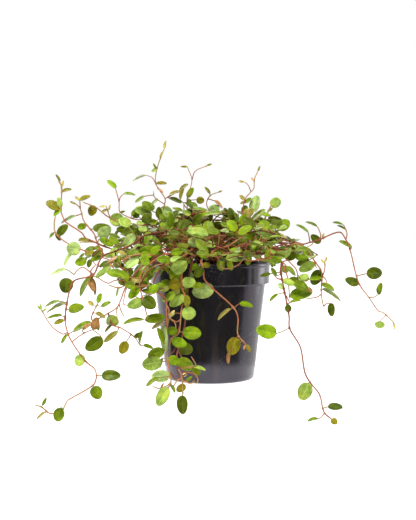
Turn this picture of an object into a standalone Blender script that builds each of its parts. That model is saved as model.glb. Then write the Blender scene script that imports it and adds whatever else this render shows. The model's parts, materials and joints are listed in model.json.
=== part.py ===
# Potted wire vine: small round leaves on wiry stems that tumble out of a black nursery pot.
# Units are metres, +Z is up and the origin is at the centre of the pot's base.
import math
import random

import bmesh
import bpy
import numpy as np
from mathutils import Matrix, Vector
from mathutils.bvhtree import BVHTree

MM = 0.001

# Pot
RIM_RADIUS = 0.053
COLLAR_RADIUS = 0.052
BODY_TOP_RADIUS = 0.0485
BASE_RADIUS = 0.0385
POT_HEIGHT = 0.102
COLLAR_BOTTOM = 0.084
WALL = 0.0016
BASE_THICKNESS = 0.0022
POT_SIDES = 28
HOLE_SIDES = 5
DRAIN_HOLES = 6
DRAIN_RADIUS = 0.0035
DRAIN_RING = 0.024
DRAIN_SIDES = 8
EDGE = 0.0006
POT_COLOUR = (0.016, 0.015, 0.017)
POT_ROUGHNESS = 0.22

# Soil
SOIL_TOP = 0.092
SOIL_CROWN = 0.0015
FIT_GAP = 0.0003
HOLE_DEPTH = 0.014
HOLE_WALL_GAP = 0.0006
ROOT_DISC = 0.039
ROOT_ZONE = 0.042
ROOT_COLLAR = 0.004
SUNFLOWER_TURN = 137.508
SOIL_COLOUR = (0.045, 0.026, 0.016)
SOIL_ROUGHNESS = 0.95

# The vines are drawn on an upright plane through the pot's axis, as seen from this point in front.
# A drawn point is put at its depth by sliding it along the line of sight.
EYE_DISTANCE = 0.900
EYE_HEIGHT = 0.137
STEM_LIFT = 0.0016
LEAF_LIFT = 0.0014
TINY = 1e-9

# Stems
STEP = 0.005
STEM_SPACING = 0.005
SETTLE_TURNS = 80
LARGEST_PUSH = 0.0015
STRAIGHTENING = 0.0009
STEM_CLEAR = 0.0028
CROSSING_TURNS = 60
ROOT_STEM = 0.0012
TIP_STEM = 0.0009
TWIG_STEM = 0.0009
TWIG_TIP = 0.00075
TWIG_FORWARD = 0.003
FIRST_RISE = 0.005
BURIED_POINTS = 5
OVER_RIM = 0.1058
NEAR_RIM = 0.043
RIM_CLEAR = 0.0026
PLANT_COLOUR = (0.12, 0.24, 0.035)
PLANT_ROUGHNESS = 0.42

# Leaves
BLADE = 0.0007
LEAF_CLEAR = 0.0006
STALK_WIDTH = 0.0009
STALK_TAPER = 0.5
SHORTEST_STALK = 0.0016
LOWEST_LEAF = 0.010
LEAF_OFF_POT = 0.0018
LEAF_OVER_RIM = 0.0015
THINNEST_SEAM = 0.0000003
JOINING_TRIES = (
    ("EXACT", 1), ("MANIFOLD", 1), ("EXACT", 0.97), ("MANIFOLD", 0.97),
    ("EXACT", 1.04), ("MANIFOLD", 1.04), ("EXACT", 0.92), ("MANIFOLD", 0.92),
)
LARGE_LEAF = 0.0145
LARGE_SIDES = 9
LEAF_SIDES = 7
NARROW_LEAF = 0.0045
NARROW_SIDES = 5
ROUNDNESS = 0.62
ROUNDED_FROM = 0.0065
SIDE_REACH = 1.02
INNER_START = 0.2
INNER_LENGTH = 0.7
INNER_WIDTH = 0.85
LARGEST_LEAN = 0.35
FOLD = 0.16
DROOP = 0.10
NEAR_SHIFTS = (0, -2, -5, -8, 2, -12, 6, -16, 10)
TIP_SHIFTS = (0.0, 0.3, -0.3, 0.6, -0.6)

# Each vine has a route, then its twigs, then its leaves, in millimetres on the front view.
# A route point is across, up and, where it is known, depth behind the plane.
# A leaf is its base, its tip, the width that shows and its tone.
VINES = (
    ("vine_left_crest",
     ((-50, 106, -22), (-75, 110), (-90, 116, -12), (-100, 120), (-109, 123), (-113, 128),
      (-117, 130), (-123, 134), (-127, 137.5), (-129, 141), (-131, 147), (-131, 155),
      (-131, 163), (-130.5, 168), (-131, 171), (-133.5, 175, 6)),
     (),
     ((-132, 173, -135, 179.5, 2.2, "o"), (-130.5, 167, -129, 174, 2, "y"),
      (-130.5, 164, -122, 167, 3, "o"), (-131.5, 150, -133, 159, 5, "p"),
      (-132, 149, -144, 156, 8, "o"), (-131, 149.5, -138, 143.5, 4, "b"),
      (-102, 119.5, -115, 121, 3, "y"), (-97, 123, -85, 117, 6, "b"),
      (-89, 126.5, -79, 124, 3.5, "g"))),
    ("vine_left_tip",
     ((-45, 101, -46), (-65, 103, -36), (-85, 106), (-98, 108.5, -22), (-110, 112), (-118, 115.5),
      (-126, 119), (-131, 122.5), (-136, 128), (-137, 136), (-136, 143, -8)),
     (),
     ((-134, 126, -126, 135, 7, "d"), (-136, 127, -131, 121.5, 4, "d"),
      (-137, 128, -142, 124, 2.5, "b"), (-114, 113, -126.5, 115, 12, "w"),
      (-110, 111, -102, 116, 5, "g"), (-109, 104, -119, 101, 8, "b"),
      (-96, 107, -106, 104, 5, "b"), (-119, 113, -130, 100, 3.5, "w"))),
    ("vine_left_fork",
     ((-58, 112, -5), (-75, 112), (-88, 115, 5), (-98, 118), (-99, 122), (-102, 127),
      (-106, 131), (-109, 135), (-111, 138.5), (-112, 143), (-114, 149), (-117, 152.5),
      (-121, 154.5, 12)),
     (((-114, 149), (-114.2, 153), (-114.5, 156.5)),),
     ((-114.5, 156.5, -105.5, 161.5, 4, "o"), (-114.5, 156.5, -119, 160, 2.5, "y"),
      (-119, 153.5, -123, 155.5, 2, "y"), (-118, 143, -131, 137, 3, "g"),
      (-109, 134.5, -117, 132.5, 6, "g"), (-103, 131.5, -87, 133, 8, "d"),
      (-98, 125, -88, 132, 10, "w"), (-80, 116, -85, 120, 4, "y"))),
    ("vine_left_arch",
     ((-40, 122, 10), (-58, 130), (-75, 136.5), (-88, 141, 18), (-92, 143.5), (-95, 146.5),
      (-100, 150), (-106, 152.5), (-112, 155, 22)),
     (((-88, 141), (-89, 145), (-89.5, 149), (-91, 151)),),
     ((-102, 152, -105, 143, 8, "o"), (-91, 151, -98, 151, 2, "y"),
      (-90, 148.5, -96, 146, 2.5, "y"), (-89, 148, -87.5, 153, 2, "y"),
      (-76, 139, -88.5, 140, 12, "p"), (-71, 131, -82, 131, 7, "d"),
      (-62, 132, -77, 128, 9, "d"))),
    ("vine_left_runner",
     ((-35, 118, -18), (-48, 126), (-60, 124.5), (-68, 118), (-78, 114), (-87, 110.5, -35),
      (-92, 109), (-97, 104), (-100, 97), (-103, 91), (-109, 89), (-117, 87), (-121, 84.5),
      (-123, 80), (-125, 73, -66), (-126, 62), (-128, 52), (-128, 47), (-126, 40),
      (-120, 27.5), (-113, 18), (-107, 11), (-103, 8.5, -88), (-101, 4), (-101, -1, -115),
      (-104, -7, -125), (-110, -11.5), (-120, -17, -147), (-126, -20, -158), (-129, -25, -182),
      (-134, -36, -204)),
     (((-104, 90), (-107, 95), (-112, 97.5), (-117, 95), (-120, 91)),
      ((-126.5, 40), (-130, 38.5), (-135, 41.5), (-140, 45.5), (-144, 51), (-147, 56),
       (-149, 60)),
      ((-123, 33), (-118, 35), (-113, 38.5), (-108, 41), (-104, 42.5)),
      ((-131, -29), (-137, -31), (-142, -32), (-147, -28.5), (-150, -26), (-156, -24.5))),
     ((-126, 88, -128, 75, 12.5, "d"), (-106, 89.5, -116, 73, 5, "g"),
      (-105, 88, -101, 73, 3, "t"), (-101, 89, -88, 98, 5, "p"),
      (-125, 60, -112, 63, 8.5, "g"), (-127, 96, -140, 92.5, 3.5, "w"),
      (-128, 65, -145, 60, 2.5, "g"), (-133, 67.5, -147, 63, 3, "g"),
      (-131, 54.5, -144, 53.5, 2.5, "g"), (-129, 51, -138, 48, 4, "o"),
      (-126, 38, -132, 30.5, 3, "b"), (-121, 41, -106, 50, 5, "g"),
      (-113, 42, -106, 47, 3, "t"), (-103, 42.5, -100, 53, 8, "t"),
      (-95, 34.5, -110, 25, 12, "d"), (-149, 60, -153, 64, 2, "p"),
      (-149, 60, -150, 66, 2, "p"), (-148, 58.5, -144, 62, 2, "p"),
      (-111, 14, -120, 17, 11, "p"), (-96, 2, -80, 2, 10, "d"),
      (-103.5, -8, -98, -19, 11, "g"), (-133, -27, -136, -39.5, 10, "g"),
      (-149, -25, -145, -17.5, 3, "g"), (-146, -31, -155, -37, 2.5, "y"),
      (-66, 126, -77, 115, 9, "w"))),
    ("vine_left_hanging",
     ((-30, 104, -46), (-45, 104, -58), (-58, 100, -62), (-66, 92, -64), (-73, 83), (-76, 77),
      (-79, 71), (-80.5, 66), (-82, 62.5), (-86, 60), (-90, 57, -72), (-97, 53), (-103, 49),
      (-105, 45, -80)),
     (((-103, 49), (-105, 53), (-103, 59), (-100, 63), (-99, 66)),
      ((-90, 57), (-88, 51), (-86, 46.5), (-79, 44), (-75, 41), (-71, 38), (-67, 36),
       (-64, 33), (-62, 29), (-59, 28)),
      ((-73, 83), (-78, 86), (-84, 86), (-90, 83.5), (-95, 86), (-100, 89)),
      ((-74, 82), (-80, 79.5), (-85, 80), (-90, 82))),
     ((-99, 66, -97, 75, 4.5, "b"), (-96, 63, -88, 68, 4, "g"), (-103, 64, -108, 68, 4, "y"),
      (-101, 57, -92, 54, 4.5, "y"), (-90, 54, -81, 47, 9, "p"), (-87, 46, -94, 41, 3, "o"),
      (-82, 41, -94, 32, 5, "o"), (-74, 32, -79, 21, 9, "o"), (-67, 35, -61, 40, 4, "g"),
      (-62, 30, -61, 41, 2.5, "g"), (-59, 28.5, -50, 27, 3.5, "g"),
      (-81, 79, -83, 72, 2, "g"), (-77, 91, -91, 94, 8, "b"))),
    ("vine_top_left",
     ((-28, 112, 15), (-45, 128, 15), (-60, 139.5, 12), (-65, 139.5), (-69, 142), (-74, 144.5),
      (-79, 146), (-80, 150), (-80, 155), (-82, 161), (-83, 167, 4)),
     (((-80, 156), (-79, 159), (-76, 162)),
      ((-55, 134), (-64, 135), (-70, 136), (-74, 137.5))),
     ((-83, 167, -89.5, 175, 4.5, "b"), (-76, 162, -65.5, 162.5, 2.5, "g"),
      (-79, 146, -74.5, 147, 2, "d"), (-69, 143, -66, 149, 2.5, "g"),
      (-51, 144, -66, 149, 8, "p"), (-50, 138.5, -60, 139.5, 5, "d"))),
    ("vine_top_tall",
     ((-15, 110, 5), (-35, 122, 5), (-49, 135, 5), (-46, 138), (-43, 143), (-41, 148),
      (-40, 153), (-39.5, 158), (-43, 163), (-45, 167), (-47.5, 171), (-47.5, 178),
      (-46.5, 184.5), (-45, 190), (-43.5, 195), (-42, 198), (-40, 202, 0)),
     (((-41, 154), (-45, 157.5), (-49, 159.5), (-49.5, 165)),
      ((-40, 156), (-36, 160), (-31, 163), (-27, 164.5)),
      ((-47.5, 173), (-51, 176.5), (-56, 178.5))),
     ((-40, 202, -39.5, 209, 2.5, "y"), (-44, 194, -41, 200, 2, "y"),
      (-46.5, 184.5, -51.5, 181.5, 3, "p"), (-47, 184, -50, 189, 2, "g"),
      (-47, 171.5, -38, 172, 3.2, "o"), (-56, 178.5, -68, 174.5, 1.6, "g"),
      (-45, 167, -41, 163, 2, "r"), (-58, 160, -66, 155, 3, "g"),
      (-46, 158, -52, 152.5, 2.5, "g"), (-36, 161, -26, 166, 3, "o"),
      (-27, 165, -20, 171.5, 3, "o"), (-36, 158.5, -25, 155, 3.5, "d"),
      (-43, 150, -33, 142, 10, "w"), (-39, 131, -52, 130, 6.5, "b"))),
    ("vine_top_pink",
     ((-5, 108, 0), (-20, 118, 0), (-28, 123, -2), (-24, 127), (-23, 131), (-22.5, 140),
      (-22.5, 148), (-23, 154, -8)),
     (((-23, 131), (-20, 140), (-20, 150), (-20, 158), (-18, 163), (-17, 168), (-16, 174),
       (-17, 177), (-19, 181), (-20, 186)),
      ((-16, 175), (-15, 179), (-13, 182), (-10, 184), (-6, 186), (-2, 187))),
     ((-20, 186, -26, 186, 2, "o"), (-3, 187, 2, 188.5, 1.8, "o"),
      (-20, 159, -15, 167.5, 5, "g"), (-12, 157, -5, 156, 6.5, "o"),
      (-14, 141, -1, 142, 2.5, "d"), (-20, 148, -2, 149, 2.5, "g"),
      (-24, 133, -34, 133.5, 9, "p"), (-31, 140.5, -39, 124, 3.5, "y"),
      (-24, 147, -33, 150.5, 3, "g"), (-33, 121, -44, 116, 4, "w"),
      (-28, 121, -17, 118, 5, "y"))),
    ("vine_top_middle",
     ((5, 108, 20), (4, 125, 20), (2, 141, 18), (-1, 148), (-3, 153), (-1, 157), (0, 160.5),
      (3, 162), (7, 163.5, 14)),
     (),
     ((0, 162, -4, 168.5, 2.5, "o"), (7, 163.5, 11, 165, 1.6, "y"),
      (-1, 146, 8, 151, 9, "w"), (4, 156, 12, 150.5, 3, "t"), (13, 140, 11, 148, 2.5, "g"))),
    ("vine_top_right",
     ((8, 112, 5), (8, 121, 0), (12, 124.5), (18, 126), (23, 129), (27, 133), (29, 138),
      (29, 148), (30, 154), (31, 158), (33, 160), (36, 164), (38.5, 167), (39.5, 171),
      (39, 175), (40, 179), (42, 182, -5)),
     (((36, 164.5), (34, 168), (33, 170.5), (30, 172.5)),),
     ((30, 172.5, 24.5, 173.5, 2, "y"), (38.5, 173.5, 36, 176.5, 2, "r"),
      (30.5, 157, 26, 161, 3.5, "y"), (30.5, 155.5, 26.5, 153.5, 2.5, "y"),
      (31, 154, 36, 159, 3.5, "g"), (38, 146, 41, 161, 9, "w"), (29, 145.5, 32, 152, 6, "d"),
      (29.5, 143, 38, 148, 8, "y"), (37, 139.5, 48, 149, 4.5, "g"),
      (20, 138, 17.5, 150, 7, "d"), (25, 137, 22, 146, 3, "g"), (42, 182, 44, 187, 2, "y"))),
    ("vine_crown_left",
     ((-25, 108, -34), (-38, 106, -52), (-50, 108, -58), (-60, 109), (-70, 107.5, -60),
      (-76, 104), (-80, 99, -57)),
     (),
     ((-47, 112, -64, 110, 11, "b"), (-52, 109, -45, 116, 7, "b"), (-62, 108, -73, 112, 7, "g"),
      (-63, 105.5, -75, 98, 8, "w"), (-55, 100, -67, 92, 9, "w"), (-75, 109, -81, 112, 4, "y"),
      (-80, 108, -82, 102, 3, "b"), (-81, 107, -92, 102, 3, "t"))),
    ("vine_crown_middle",
     ((-10, 112, -38), (-18, 110, -54), (-26, 106, -61), (-33, 103, -63), (-38, 100),
      (-44, 100, -66), (-50, 98), (-57, 93), (-60, 87, -68)),
     (),
     ((-24, 112, -35, 110, 7, "b"), (-34, 104, -47, 105, 7, "b"), (-38, 99, -29, 102, 8, "p"),
      (-33, 94, -21, 102, 12, "p"), (-42, 100, -36, 93, 3, "o"), (-42, 98, -52, 92, 2.5, "b"),
      (-57, 92, -52, 87, 4, "d"), (-60, 86, -70, 86, 5, "y"))),
    ("vine_crown_front",
     ((3, 108, -36), (4, 115, -48), (10, 115, -54), (16, 116.5), (21, 119), (25, 123),
      (31, 126), (35, 129), (38, 131.5, -42)),
     (),
     ((5, 117, -8, 119, 6, "p"), (-8, 118, -20, 121, 9, "w"), (8, 128, -3, 130.5, 6, "g"),
      (17, 113, 29, 112, 4, "b"), (2, 111, 14, 109.5, 6, "o"),
      (25, 127, 36, 134, 7, "b"), (-1, 127, -20, 130.5, 8, "p"))),
    ("vine_rim_loop",
     ((18, 108, -42), (26, 117, -56), (31.7, 117, -62), (31, 112), (29.3, 107.7, -66), (26, 101),
      (17.4, 96.7), (9.7, 97.2), (8.4, 102, -66)),
     (((29.3, 105), (33, 103.5), (40, 104), (48, 105), (55, 106)),
      ((48, 105), (52, 107), (53, 111), (49, 116))),
     ((29, 106, 14, 106, 7.5, "p"), (49, 105, 51, 113, 4, "g"), (52, 105, 63, 103, 7, "g"))),
    ("vine_right_short",
     ((25, 108, -5), (35, 118, -8), (42, 128), (46, 136), (48, 141.5), (51, 146.5),
      (52.5, 150, 0)),
     (((44, 132), (50, 135.5), (55, 133), (60, 129), (61, 127)),),
     ((53.5, 151.5, 62, 158, 9, "p"), (51.5, 147, 55, 150, 2.5, "y"),
      (47.5, 140, 35, 132, 7, "p"), (52, 137, 63, 138, 5, "d"), (60, 131, 70, 139, 10, "g"),
      (55, 132, 47, 122, 10, "p"), (60, 126, 62, 118, 5, "y"), (61, 127, 68, 123, 2.5, "y"))),
    ("vine_right_arch",
     ((30, 108, -14), (42, 113, -16), (56, 119, -14), (66, 117.8), (75, 118), (82, 118),
      (88, 119.5), (95, 121.5), (100, 122.5), (106, 125.5), (111, 128), (114, 128.5),
      (117, 126), (119.5, 122), (121, 118), (123, 114), (125, 107), (127, 99), (129, 93),
      (131, 84), (135, 78), (140, 71), (145, 64), (149, 58.5), (152, 58), (155, 55),
      (158, 52), (161, 50), (163, 46, 5)),
     (((88, 119.5), (86.5, 123), (86.5, 128)), ((97, 122), (97.5, 125), (95, 132.5)),
      ((119.5, 122), (120.5, 127), (118, 134)), ((140, 71), (144, 71), (147.5, 73)),
      ((56, 119), (48, 121), (40, 121.5))),
     ((86.5, 128, 76.5, 136, 2.5, "g"), (94.5, 133, 84, 138, 1.8, "g"),
      (97, 119, 89, 126, 7, "d"), (99, 123, 100, 128, 2, "y"),
      (117, 135, 108, 137.5, 1.8, "g"), (119, 131, 112, 135, 2, "g"),
      (125, 115, 114, 121, 3.5, "g"), (138, 92, 152, 93, 11, "d"), (131, 83, 120, 87, 8, "d"),
      (148.5, 73.5, 150, 84, 5, "g"), (150, 50, 149.5, 43.5, 9, "p"),
      (162, 48, 163.5, 42, 2, "y"))),
    ("vine_right_drop",
     ((35, 108, -30), (55, 113, -34), (70, 117, -34), (80, 117.5), (83, 115), (88, 109),
      (91, 104), (95, 99), (98, 94), (98.5, 88), (98, 80), (98, 74), (99, 68), (100, 63, -40)),
     (((100, 64.5), (103, 65.8), (106, 65.5)), ((97.5, 74.5), (95, 71.5), (90, 70), (84, 69.5)),
      ((98.5, 90), (101, 96), (101, 102))),
     ((107, 66, 106.5, 54, 6.5, "d"), (84, 114.5, 93, 106.5, 4, "d"),
      (88, 109, 75, 106, 8, "b"), (70, 113, 58, 107, 10, "p"), (76, 114, 66, 104, 11, "d"),
      (92, 101, 78, 95, 9, "p"), (97, 95, 90, 82, 10.5, "d"), (98, 89, 88, 88, 4, "b"),
      (87, 87, 79, 89, 6, "y"), (98, 83, 110, 78, 4.5, "b"), (99, 78, 116, 69, 2.5, "g"),
      (101, 102, 103, 107, 2, "y"), (101, 101, 97, 105, 2, "y"))),
    ("vine_right_runner",
     ((30, 106, -50), (45, 110, -58), (57, 108, -64), (63, 102, -68), (62, 95), (63, 88),
      (65, 78), (67, 66), (68, 62), (69.5, 55), (69, 50), (70, 44, -82), (73, 38), (77, 33),
      (79.5, 27), (81.5, 19), (83, 10), (83.5, 5, -114), (86, 0), (88, -4, -126), (92, -9),
      (96, -14, -138), (98, -20), (99, -26, -170), (101, -32, -190), (104, -35),
      (107, -37, -211)),
     (((63, 101), (67, 93), (69, 84), (70, 76), (70, 70)),),
     ((58.5, 39, 41, 43, 13, "b"), (87, -5, 80, -20, 13, "p"), (104, -26, 117, -26, 6.5, "d"),
      (107, -37, 112, -41, 6, "y"), (96, -37, 86, -38, 2, "g"), (69, 58, 68.5, 65, 6, "d"),
      (60, 74, 52, 68, 2.5, "g"), (70, 66, 80, 69, 2, "g"), (53, 92, 44, 90, 3.5, "g"),
      (58, 90, 54, 97, 4, "g"), (67, 98, 76, 91, 4.5, "g"), (69, 86, 78, 87, 6, "d"),
      (64, 86, 75, 83, 6, "p"), (65, 79, 60, 83, 5, "w"), (71, 71, 90, 78, 11, "b"))),
    ("vine_front_pot",
     ((-6, 111, -42), (-9, 107, -56), (-7, 100, -62), (-6, 95), (-5, 90), (-4.5, 86), (-2, 83),
      (2, 80), (6, 76.5), (10, 73), (15, 68.5), (19, 64), (21, 61.5), (22.5, 57), (24.5, 53),
      (24, 48), (24, 42), (24.5, 38), (26, 35), (29, 31.5), (32, 29, -54)),
     (),
     ((26, 65.5, 38, 64, 5, "b"), (18, 60.5, 6.5, 51.5, 3, "y"), (23, 35.5, 18, 20, 12, "y"),
      (32, 29, 36, 22.5, 3.5, "o"), (31, 29, 29.5, 24.5, 1.8, "r"), (3, 79, -17, 74.5, 14, "p"),
      (-7, 98, -13, 89, 8, "d"), (-6, 100, 0, 99, 5, "o"),
      (-1, 110, -10, 109.5, 10, "b"))),
    ("vine_front_middle",
     ((-12, 110, -42), (-18, 106, -58), (-24, 97, -64), (-25, 88), (-25, 80), (-23.5, 75),
      (-22, 71), (-24, 66, -62), (-25, 62), (-25, 57), (-26, 53), (-27, 49), (-27, 43),
      (-29, 38), (-34, 35), (-36, 30), (-36.5, 25, -60)),
     (),
     ((-24, 92, -10, 103, 8.5, "b"), (-25, 84, -13, 84.5, 10, "p"), (-26, 83, -37, 82, 11, "o"),
      (-22, 71, -37, 65, 9.5, "p"), (-21, 73, -20, 62, 6, "o"), (-25, 57, -12.5, 57, 12, "p"),
      (-31, 57, -37, 53.5, 3, "p"), (-24, 40, -7.5, 39, 12, "b"), (-29, 41, -38, 41.5, 8, "b"),
      (-34, 33, -21, 29, 9, "y"))),
    ("vine_cascade_main",
     ((-20, 110, -46), (-32, 107, -60), (-42, 99, -68), (-48, 90, -70), (-50, 82), (-47, 76),
      (-42, 72.5), (-39, 68), (-39, 60), (-39, 52), (-38.5, 45), (-38, 36), (-38, 28),
      (-38, 20, -66), (-37, 12, -73), (-36, 5, -86), (-35, 0, -103), (-35, -5, -127),
      (-37, -9, -148)),
     (),
     ((-50, 80, -42, 83.5, 3.5, "b"), (-46, 77, -37, 80, 3, "y"), (-40, 50, -52, 43.5, 4, "y"),
      (-40, 46, -42, 23, 7, "w"), (-41, 24, -55, 19, 10, "g"), (-43, 14, -61, 11, 13, "p"),
      (-37, 17, -27, 13, 9, "b"), (-36, 1.5, -52, 1, 11, "w"), (-46, 0, -57, -7, 4, "g"),
      (-38, -9, -47, -25, 11, "p"), (-35, -6, -31, -13, 3, "g"))),
    ("vine_cascade_left",
     ((-32, 110, -50), (-50, 103, -66), (-58, 96, -74), (-62, 88, -76), (-62, 80), (-60, 72, -77),
      (-59, 66), (-57, 58), (-55, 52, -76)),
     (((-62, 80), (-67, 80.5), (-72, 82), (-73, 78), (-75, 72), (-77, 66)),),
     ((-62, 79, -73, 71, 8, "b"), (-59, 68, -73, 63, 9.5, "p"), (-59, 71, -49, 62, 12, "d"),
      (-57, 50, -40, 56, 9, "g"), (-58, 51, -77, 49, 1.8, "g"))),
    ("vine_cascade_low",
     ((-2, 110, -40), (-12, 106, -59), (-17, 98, -62), (-19, 88, -60), (-20, 76), (-21, 64),
      (-22, 50, -56), (-24, 38), (-27, 28, -58), (-30, 20), (-30, 13), (-28.5, 8, -66),
      (-26, 4, -78), (-25, -2, -104), (-24, -6, -128), (-24.5, -14, -170)),
     (((-28, 9), (-22, 9.5), (-15, 9.5)),
      ((-26, 4), (-20, 4.5), (-14, 3), (-11, -1), (-11.5, -5), (-15, -4))),
     ((-28, 27, -15, 24, 11, "d"), (-28, 16, -15, 7, 11, "g"), (-16, 8, -8, 3, 6, "g"),
      (-15, 9.5, -4, 7, 3, "p"), (-25, -16, -25, -33, 10, "d"), (-22, -7, -30, -12, 7, "o"),
      (-21, -3, -16, 1, 3, "g"))),
)

# The vines behind the crown follow a rule: they fan out over the back of the rim.
BACK_VINES = 9
BACK_SEED = 7
BACK_FIRST_ANGLE = 24
BACK_SPREAD = 132
BACK_PARTS = (0.16, 0.34, 0.5, 0.64, 0.76, 0.87, 1.0)
BACK_START = 0.030
BACK_REACH = (0.074, 0.034)
BACK_PEAK = (0.118, 0.020)
BACK_END = (0.100, 0.020)
BACK_HANGING_END = (0.030, 0.040)
HANGS_BEYOND = 0.88
BACK_FIRST_HEIGHT = 0.108
BACK_SWAY = 0.25
BACK_WAVES = 9
BACK_WAVE = 0.05
BACK_FALL = 1.4
BACK_LEAF_SEED = 100
BACK_LEAF_TONES = "gggdbbypo"
BACK_LEAF_START = 0.030
BACK_LEAF_STEP = 0.022
BACK_LEAF_TRIES = 8
BACK_STALKS = (0.003, 0.007)
BACK_LENGTHS = (0.010, 0.016)
BACK_ROUNDNESS = (0.75, 0.95)


def drawn_to_world(view):
    """Points of the front view, as rows of across, up and depth, in world coordinates"""
    spread = 1 + view[:, 2] / EYE_DISTANCE
    return np.stack((view[:, 0] * spread, view[:, 2],
                     EYE_HEIGHT - (EYE_HEIGHT - view[:, 1]) * spread), axis=1)


def world_to_drawn(world):
    """The reverse of drawn_to_world"""
    spread = 1 + world[:, 1] / EYE_DISTANCE
    return np.stack((world[:, 0] / spread,
                     EYE_HEIGHT - (EYE_HEIGHT - world[:, 2]) / spread, world[:, 1]), axis=1)


def deepest(height, lift):
    """How far back a drawn height can lie before it sinks below the surface the pot stands on"""
    room = np.maximum(EYE_HEIGHT - np.asarray(height, float), TINY)
    return EYE_DISTANCE * ((EYE_HEIGHT - lift) / room - 1)


def pot_radius(height):
    """The pot's outer radius at a height"""
    if height > COLLAR_BOTTOM:
        return RIM_RADIUS
    return BASE_RADIUS + (BODY_TOP_RADIUS - BASE_RADIUS) * max(height, 0) / COLLAR_BOTTOM


def with_depths(points, first, last):
    """A drawn route in metres, with each depth left out filled in between its neighbours"""
    flat = np.array([point[:2] for point in points], float) * MM
    lengths = np.linalg.norm(np.diff(flat, axis=0), axis=1)
    along = np.concatenate(((0,), np.cumsum(lengths)))
    known = {index: point[2] * MM for index, point in enumerate(points) if len(point) == 3}
    if first is not None:
        known[0] = first
    known.setdefault(len(points) - 1, last)
    order = sorted(known)
    depths = np.interp(along, along[order], [known[index] for index in order])
    return np.column_stack((flat, depths))


def smooth(view, step):
    """Points about one step apart on a smooth curve through the given ones"""
    ends = np.vstack((2 * view[0] - view[1], view, 2 * view[-1] - view[-2]))
    world = drawn_to_world(view)
    curve = []
    for index, (a, b, c, d) in enumerate(zip(ends, ends[1:], ends[2:], ends[3:])):
        count = max(1, round(float(np.linalg.norm(world[index + 1] - world[index])) / step))
        for turn in range(count):
            t = turn / count
            curve.append(0.5 * (2 * b + (c - a) * t + (2 * a - 5 * b + 4 * c - d) * t ** 2
                                + (3 * b - a - 3 * c + d) * t ** 3))
    curve.append(view[-1])
    return np.array(curve)


def root_places(count):
    """Places for the stems on the soil, spread like the seeds of a sunflower"""
    places = []
    for index in range(count):
        reach = ROOT_DISC * math.sqrt((index + 0.5) / count)
        turn = index * math.radians(SUNFLOWER_TURN)
        places.append(Vector((reach * math.cos(turn), reach * math.sin(turn))))
    return places


def rooted(route, places):
    """A route that starts upright in the free place on the soil that lies nearest its course"""
    start = drawn_to_world(route[:1])[0]
    aim = Vector((start[0], start[1]))
    if aim.length > ROOT_DISC:
        aim *= ROOT_DISC / aim.length
    root = min(places, key=lambda place: (place - aim).length)
    places.remove(root)
    foot = SOIL_TOP - HOLE_DEPTH
    heights = (foot, foot + HOLE_DEPTH / 2, SOIL_TOP, SOIL_TOP + FIRST_RISE)
    upright = np.array([(root.x, root.y, height) for height in heights])
    return np.vstack((world_to_drawn(upright), route))


def back_route(index):
    """A drawn route for a vine behind the crown"""
    draw = random.Random(BACK_SEED + index)
    angle = math.radians(BACK_FIRST_ANGLE + BACK_SPREAD * index / (BACK_VINES - 1))
    reach = BACK_REACH[0] + BACK_REACH[1] * draw.random()
    peak = BACK_PEAK[0] + BACK_PEAK[1] * draw.random()
    end = BACK_END[0] + BACK_END[1] * draw.random()
    if math.sin(angle) > HANGS_BEYOND:
        end = BACK_HANGING_END[0] + BACK_HANGING_END[1] * draw.random()
    sway = draw.uniform(-BACK_SWAY, BACK_SWAY)
    phase = draw.uniform(0, math.tau)
    world = []
    for part in BACK_PARTS:
        bend = angle + sway * part + BACK_WAVE * math.sin(BACK_WAVES * part + phase)
        out = BACK_START + (reach - BACK_START) * min(1, part * 1.35)
        rise = math.sin(math.pi * min(part / 0.5, 1) / 2)
        fall = max(0, part - 0.5) / 0.5
        height = (BACK_FIRST_HEIGHT + (peak - BACK_FIRST_HEIGHT) * rise
                  - (peak - end) * fall ** BACK_FALL)
        world.append((out * math.cos(bend), out * math.sin(bend), height))
    return world_to_drawn(np.array(world))


class Stem:
    """One stem or twig: its drawn points, the vine it belongs to and what it springs from"""

    def __init__(self, vine, view, parent=None, joint=0):
        self.vine = vine
        self.view = view
        self.parent = parent
        self.joint = joint
        self.outside = 0
        if parent is None:
            world = drawn_to_world(view)
            radii = np.hypot(world[:, 0], world[:, 1])
            beyond = np.nonzero(radii > RIM_RADIUS + RIM_CLEAR)[0]
            self.outside = int(beyond[0]) if len(beyond) else len(view)

    def world(self):
        return drawn_to_world(self.view)


def nearest_joint(stems, x, z):
    """The stem of a vine, and the point on it, that lies nearest a drawn point"""
    best = None
    for stem in stems:
        gaps = np.hypot(stem.view[:, 0] - x, stem.view[:, 1] - z)
        if stem.parent is None:
            gaps[:BURIED_POINTS] += 1
        index = int(np.argmin(gaps))
        if best is None or gaps[index] < best[0]:
            best = (gaps[index], stem, index)
    return best[1], best[2]


def lay_out(vines):
    """Every stem and twig of the plant, before they are moved clear of each other"""
    places = root_places(len(vines) + BACK_VINES)
    stems = []
    for number, (_name, route, twigs, _leaves) in enumerate(vines):
        drawn = with_depths(route, None, 0)
        own = [Stem(number, smooth(rooted(drawn, places), STEP))]
        for twig in twigs:
            parent, joint = nearest_joint(own, twig[0][0] * MM, twig[0][1] * MM)
            start = parent.view[joint]
            line = with_depths(twig, start[2], start[2] - TWIG_FORWARD)
            line[0] = start
            own.append(Stem(number, smooth(line, STEP), parent, joint))
        stems.extend(own)
    for index in range(BACK_VINES):
        drawn = back_route(index)
        stems.append(Stem(len(vines) + index, smooth(rooted(drawn, places), STEP)))
    return stems


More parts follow.
